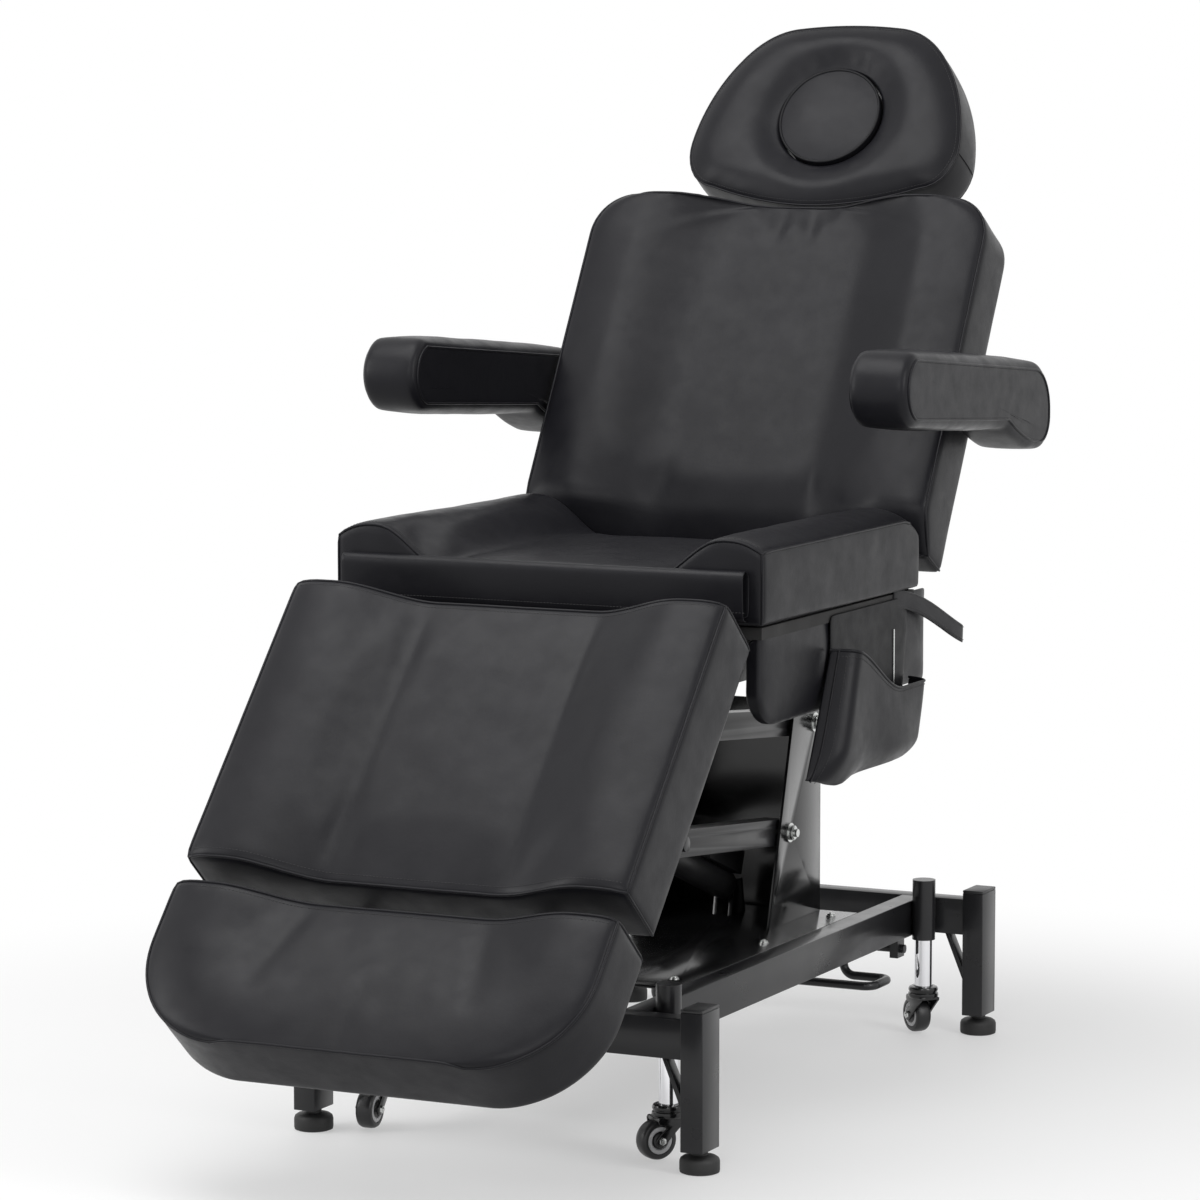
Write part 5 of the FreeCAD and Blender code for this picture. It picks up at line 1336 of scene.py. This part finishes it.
def makeHandCase():
    front, rear = handSpec["front"], handSpec["rear"]
    sections = [(rear - into, inset) for into, inset in handSpec["rearSteps"]]
    sections += [(front + into, inset) for into, inset in handSpec["frontSteps"]]
    rings = []
    for x, inset in sections:
        rings.append([Vector((x, handSpec["y"] + y, handSpec["z"] + z)) for y, z in handLine(inset)])
    case = joined("handCase", [ringSkin("case", rings, handBlack)] + makeRelief())
    case.data.set_sharp_from_angle(angle=math.radians(40))
    settle(case, "seat", ("handset_case",))


makeHandCase()


def flatSign(shapes, middle, faceX):
    # shapes: outlines in millimetres, first right then up as a viewer of the buttons sees them
    verts, faces = [], []
    for shape in shapes:
        start = len(verts)
        count = len(shape)
        for deep in (0.0, 0.00025):
            for a, b in shape:
                verts.append(Vector((faceX - deep, middle[0] - a / 1000, middle[1] + b / 1000)))
        faces.append(tuple(range(start, start + count)))
        faces.append(tuple(range(start + count, start + 2 * count)))
        for n in range(count):
            m = (n + 1) % count
            faces.append((start + n, start + m, start + count + m, start + count + n))
    thing = meshFrom("sign", verts, faces, signGrey, smooth=False)
    outward(thing)
    return thing


def bandShape(points, wide):
    # an outline round a bent line
    left, right = [], []
    for n, (a, b) in enumerate(points):
        before, after = points[max(n - 1, 0)], points[min(n + 1, len(points) - 1)]
        da, db = after[0] - before[0], after[1] - before[1]
        size = math.hypot(da, db)
        left.append((a - db / size * wide / 2, b + da / size * wide / 2))
        right.append((a + db / size * wide / 2, b - da / size * wide / 2))
    return left + right[::-1]


def arrowHead(tip, turn, size):
    angle = math.radians(turn)
    along, side = Vector((math.cos(angle), math.sin(angle))), Vector((-math.sin(angle), math.cos(angle)))
    tail = Vector(tip) - along * size
    return [tuple(tip), tuple(tail + side * size * 0.6), tuple(tail - side * size * 0.6)]


def disc(middle, radius):
    angles = [math.tau * n / 12 for n in range(12)]
    return [(middle[0] + radius * math.cos(a), middle[1] + radius * math.sin(a)) for a in angles]


def figureSign(head, back, legs, sweep, tip, turn):
    # a lying figure with a bent arrow beside the part that moves
    bow = arcLine(*sweep, 8) + [sweep[2]]
    return [disc(head, 0.9), bandShape(back, 1.5), bandShape(legs, 1.1), bandShape(bow, 0.45),
            arrowHead(tip, turn, 1.3)]


upArrow = [(-2.6, -2.6), (2.6, -2.6), (2.6, -0.9), (5.0, -0.9), (0, 3.2), (-5.0, -0.9), (-2.6, -0.9)]
signs = {
    "backDown": figureSign((-4.0, 2.4), [(-3.6, 1.7), (-1.2, -0.6)], [(-1.4, -0.7), (1.9, -0.6), (4.6, -3.2)],
                           ((4.0, 1.2), (1.8, 2.8), (-0.6, 2.4)), (-1.5, 2.0), 200),
    "backUp": figureSign((-3.2, 3.0), [(-2.9, 2.2), (-1.6, -0.9)], [(-1.8, -1.0), (1.5, -0.6), (1.2, -4.0)],
                         ((-1.4, 1.8), (1.0, 3.1), (3.2, 2.2)), (4.1, 1.2), -48),
    "legUp": figureSign((-4.0, 2.2), [(-3.7, 1.4), (-2.3, -1.4)], [(-2.5, -1.5), (0.8, -1.4), (2.6, -3.0)],
                        ((3.0, -1.6), (3.7, 0.4), (3.1, 2.0)), (2.9, 3.0), 105),
    "legDown": figureSign((-3.6, 2.2), [(-3.3, 1.4), (-1.9, -1.2)], [(-2.1, -1.3), (0.8, -1.0), (0.6, -4.0)],
                          ((2.6, 2.6), (3.4, 0.4), (2.7, -1.6)), (2.1, -2.6), 240),
    "lift": [upArrow], "lower": [[(a, -b) for a, b in upArrow[::-1]]],
}
buttonSpec = {"outlineIn": 0.93, "outlineOut": 0.00005, "outline": 0.00032, "wide": 0.022, "upper": 0.0105,
              "rowUp": 0.01, "signUp": {"lift": -0.0006, "lower": 0.0006}}


def buttonKey(low, high):
    # what a button does, from its size and its place on the case
    middle = (low + high) / 2
    left, up = middle.y > handSpec["y"] + bedMove, middle.z - handSpec["z"]
    if high.y - low.y > buttonSpec["wide"]:
        return "lift" if up > buttonSpec["upper"] else "lower"
    if up > buttonSpec["rowUp"]:
        return "backDown" if left else "backUp"
    return "legUp" if left else "legDown"


def dressButton(number):
    name = f"button_{number}"
    finishNode(name, buttonBlack)
    low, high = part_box(name)
    middle = (low + high) / 2
    face, share = low.x, buttonSpec["outlineIn"]
    verts = nodes[name].data.vertices
    spots = {(round(v.co.y, 5), round(v.co.z, 5)) for v in verts if v.co.x < face + 0.00002}
    rim = sorted(spots, key=lambda p: math.atan2(p[1] - middle.z, p[0] - middle.y))
    line = []
    for y, z in rim:
        across, up = middle.y + (y - middle.y) * share, middle.z + (z - middle.z) * share
        line.append(Vector((face - buttonSpec["outlineOut"], across, up)))
    key = buttonKey(low, high)
    sign = flatSign(signs[key], (middle.y, middle.z + buttonSpec["signUp"].get(key, 0)), face)
    outline = seamTube("outline", line, buttonSpec["outline"], outlineGreen, True)
    dress = joined(f"buttonDress{number}", [outline, sign])
    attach(dress, name)


for number in range(1, 7):
    dressButton(number)
print("hand control made")


# nuts, washers and screws, set at points: heights and middles are shares of the nut's height
def fastenerGroup():
    sizes = ("Nut radius", "Nut height", "Washer radius", "Stud radius")
    inputs = {"Places": "Geometry", **dict.fromkeys(sizes, "Float"), "Nut sides": "Int", "Finish": "Material"}
    tree, sockets, start, out = nodeGroup("fasteners", inputs, "Fasteners")
    link = tree.links.new

    def times(socket, factor):
        made = tree.nodes.new("ShaderNodeMath")
        made.operation = "MULTIPLY"
        link(socket, made.inputs[0])
        made.inputs[1].default_value = factor
        return made.outputs["Value"]

    def drum(radius, tall, up, corners):
        made = tree.nodes.new("GeometryNodeMeshCylinder")
        if isinstance(corners, int):
            made.inputs["Vertices"].default_value = corners
        else:
            link(corners, made.inputs["Vertices"])
        link(radius, made.inputs["Radius"])
        link(times(start["Nut height"], tall), made.inputs["Depth"])
        lift = tree.nodes.new("ShaderNodeCombineXYZ")
        link(times(start["Nut height"], up), lift.inputs["Z"])
        put = tree.nodes.new("GeometryNodeTransform")
        link(made.outputs["Mesh"], put.inputs["Geometry"])
        link(lift.outputs["Vector"], put.inputs["Translation"])
        return put.outputs["Geometry"]

    whole = tree.nodes.new("GeometryNodeJoinGeometry")
    for part in (drum(start["Washer radius"], 0.24, 0.12, 28),
                 drum(start["Nut radius"], 0.66, 0.57, start["Nut sides"]),
                 drum(times(start["Nut radius"], 0.86), 0.1, 0.95, 20),
                 drum(start["Stud radius"], 0.6, 1.15, 16)):
        link(part, whole.inputs["Geometry"])
    points = tree.nodes.new("GeometryNodeMeshToPoints")
    link(start["Places"], points.inputs["Mesh"])
    way = tree.nodes.new("GeometryNodeInputNamedAttribute")
    way.data_type = "FLOAT_VECTOR"
    way.inputs["Name"].default_value = "way"
    turn = tree.nodes.new("FunctionNodeAlignRotationToVector")
    turn.axis = "Z"
    link(way.outputs["Attribute"], turn.inputs["Vector"])
    copiesAt(tree, points.outputs["Points"], whole.outputs["Geometry"], start["Finish"], out,
             Rotation=turn.outputs["Rotation"])
    return tree, sockets


fasteners = fastenerGroup()
fastenerSets = {
    "columnNuts": {"sizes": {"Nut radius": 0.0098, "Nut height": 0.0085, "Washer radius": 0.0132,
                             "Stud radius": 0.0056, "Nut sides": 6},
                   "at": [((side * 0.1040, y, z), (side, 0, 0)) for side in (1, -1)
                          for y, z in ((0.184, 0.313), (0.266, 0.454))]},
    "trayScrews": {"sizes": {"Nut radius": 0.0052, "Nut height": 0.0032, "Washer radius": 0.0066,
                             "Stud radius": 0.0022, "Nut sides": 20},
                   "at": [((side * 0.135, y, 0.1900), (0, 0, 1)) for side in (1, -1)
                          for y in (-0.250, 0.030, 0.255)]},
}


def setFasteners(name, spec):
    mesh = bpy.data.meshes.new(name)
    mesh.from_pydata([place for place, _ in spec["at"]], [], [])
    ways = mesh.attributes.new("way", "FLOAT_VECTOR", "POINT")
    ways.data.foreach_set("vector", [c for _, way in spec["at"] for c in way])
    thing = runGroup(newObject(name, mesh), fasteners, {**spec["sizes"], "Finish": zinc})
    thing.data.set_sharp_from_angle(angle=math.radians(30))
    settle(thing, "base")


for name, spec in fastenerSets.items():
    setFasteners(name, spec)
print("fasteners set")

# pale floor, white background and soft studio light; lamps have a place, an aim, a width, a height and a power
studio = {"floor": (0.82, 0.82, 0.82), "half": 9, "glow": 0.42, "fade": (0.70, 1.6), "world": 0.45,
          "lamps": {"overhead": ((-0.5, -0.9, 3.3), (0, 0, 0.6), 2.6, 1.8, 62),
                    "left": ((-2.9, -2.2, 1.9), (0, 0, 0.7), 1.4, 2.2, 46),
                    "right": ((3.1, -1.0, 2.0), (0, 0.1, 0.6), 1.2, 2.0, 40),
                    "front": ((0.8, -4.4, 2.3), (0, 0, 0.6), 2.2, 1.4, 34)}}


def seenRays(tree):
    # 1 for what the camera, a mirror or glass sees
    ray = tree.nodes.new("ShaderNodeLightPath")
    seen = ray.outputs["Is Camera Ray"]
    for name in ("Is Glossy Ray", "Is Transmission Ray"):
        either = tree.nodes.new("ShaderNodeMath")
        either.operation = "MAXIMUM"
        tree.links.new(seen, either.inputs[0])
        tree.links.new(ray.outputs[name], either.inputs[1])
        seen = either.outputs["Value"]
    return seen


def makeFloor():
    far = studio["half"]
    floor = meshFrom("floor", [(-far, -far, 0), (far, -far, 0), (far, far, 0), (-far, far, 0)], [(0, 1, 2, 3)])
    material, tree, shader, place = startMaterial("paleFloor", studio["floor"], 0.6, Specular_IOR_Level=0.2)
    glow = nodeIn(tree, "ShaderNodeEmission", Color=(1, 1, 1, 1), Strength=1.0)
    reach = tree.nodes.new("ShaderNodeVectorMath")
    reach.operation = "LENGTH"
    tree.links.new(place, reach.inputs[0])
    fade = tree.nodes.new("ShaderNodeMapRange")
    fade.interpolation_type = "SMOOTHSTEP"
    near, gone = studio["fade"]
    for socket, value in (("From Min", near), ("From Max", gone), ("To Min", studio["glow"]), ("To Max", 1.0)):
        fade.inputs[socket].default_value = value
    tree.links.new(reach.outputs["Value"], fade.inputs["Value"])
    share = tree.nodes.new("ShaderNodeMath")
    share.operation = "MULTIPLY"
    tree.links.new(seenRays(tree), share.inputs[0])
    tree.links.new(fade.outputs["Result"], share.inputs[1])
    mix = tree.nodes.new("ShaderNodeMixShader")
    tree.links.new(share.outputs["Value"], mix.inputs["Fac"])
    tree.links.new(shader.outputs["BSDF"], mix.inputs[1])
    tree.links.new(glow.outputs["Emission"], mix.inputs[2])
    tree.links.new(mix.outputs["Shader"], tree.nodes["Material Output"].inputs["Surface"])
    floor.data.materials.append(material)


def makeWorld():
    world = bpy.data.worlds.new("studio")
    scene.world = world
    world.use_nodes = True
    tree = world.node_tree
    fill = tree.nodes["Background"]
    fill.inputs["Color"].default_value = (1, 1, 1, 1)
    fill.inputs["Strength"].default_value = studio["world"]
    white = nodeIn(tree, "ShaderNodeBackground", Color=(1, 1, 1, 1), Strength=1.0)
    mix = tree.nodes.new("ShaderNodeMixShader")
    tree.links.new(seenRays(tree), mix.inputs["Fac"])
    tree.links.new(fill.outputs["Background"], mix.inputs[1])
    tree.links.new(white.outputs["Background"], mix.inputs[2])
    tree.links.new(mix.outputs["Shader"], tree.nodes["World Output"].inputs["Surface"])


def makeLamps():
    for name, (place, aim, wide, tall, power) in studio["lamps"].items():
        data = bpy.data.lights.new(name, "AREA")
        data.shape = "RECTANGLE"
        data.size = wide
        data.size_y = tall
        data.energy = power
        lamp = newObject(name, data)
        lamp.location = place
        lamp.rotation_euler = (Vector(aim) - Vector(place)).to_track_quat("-Z", "Y").to_euler()


makeFloor()
makeWorld()
makeLamps()
print("studio lit")
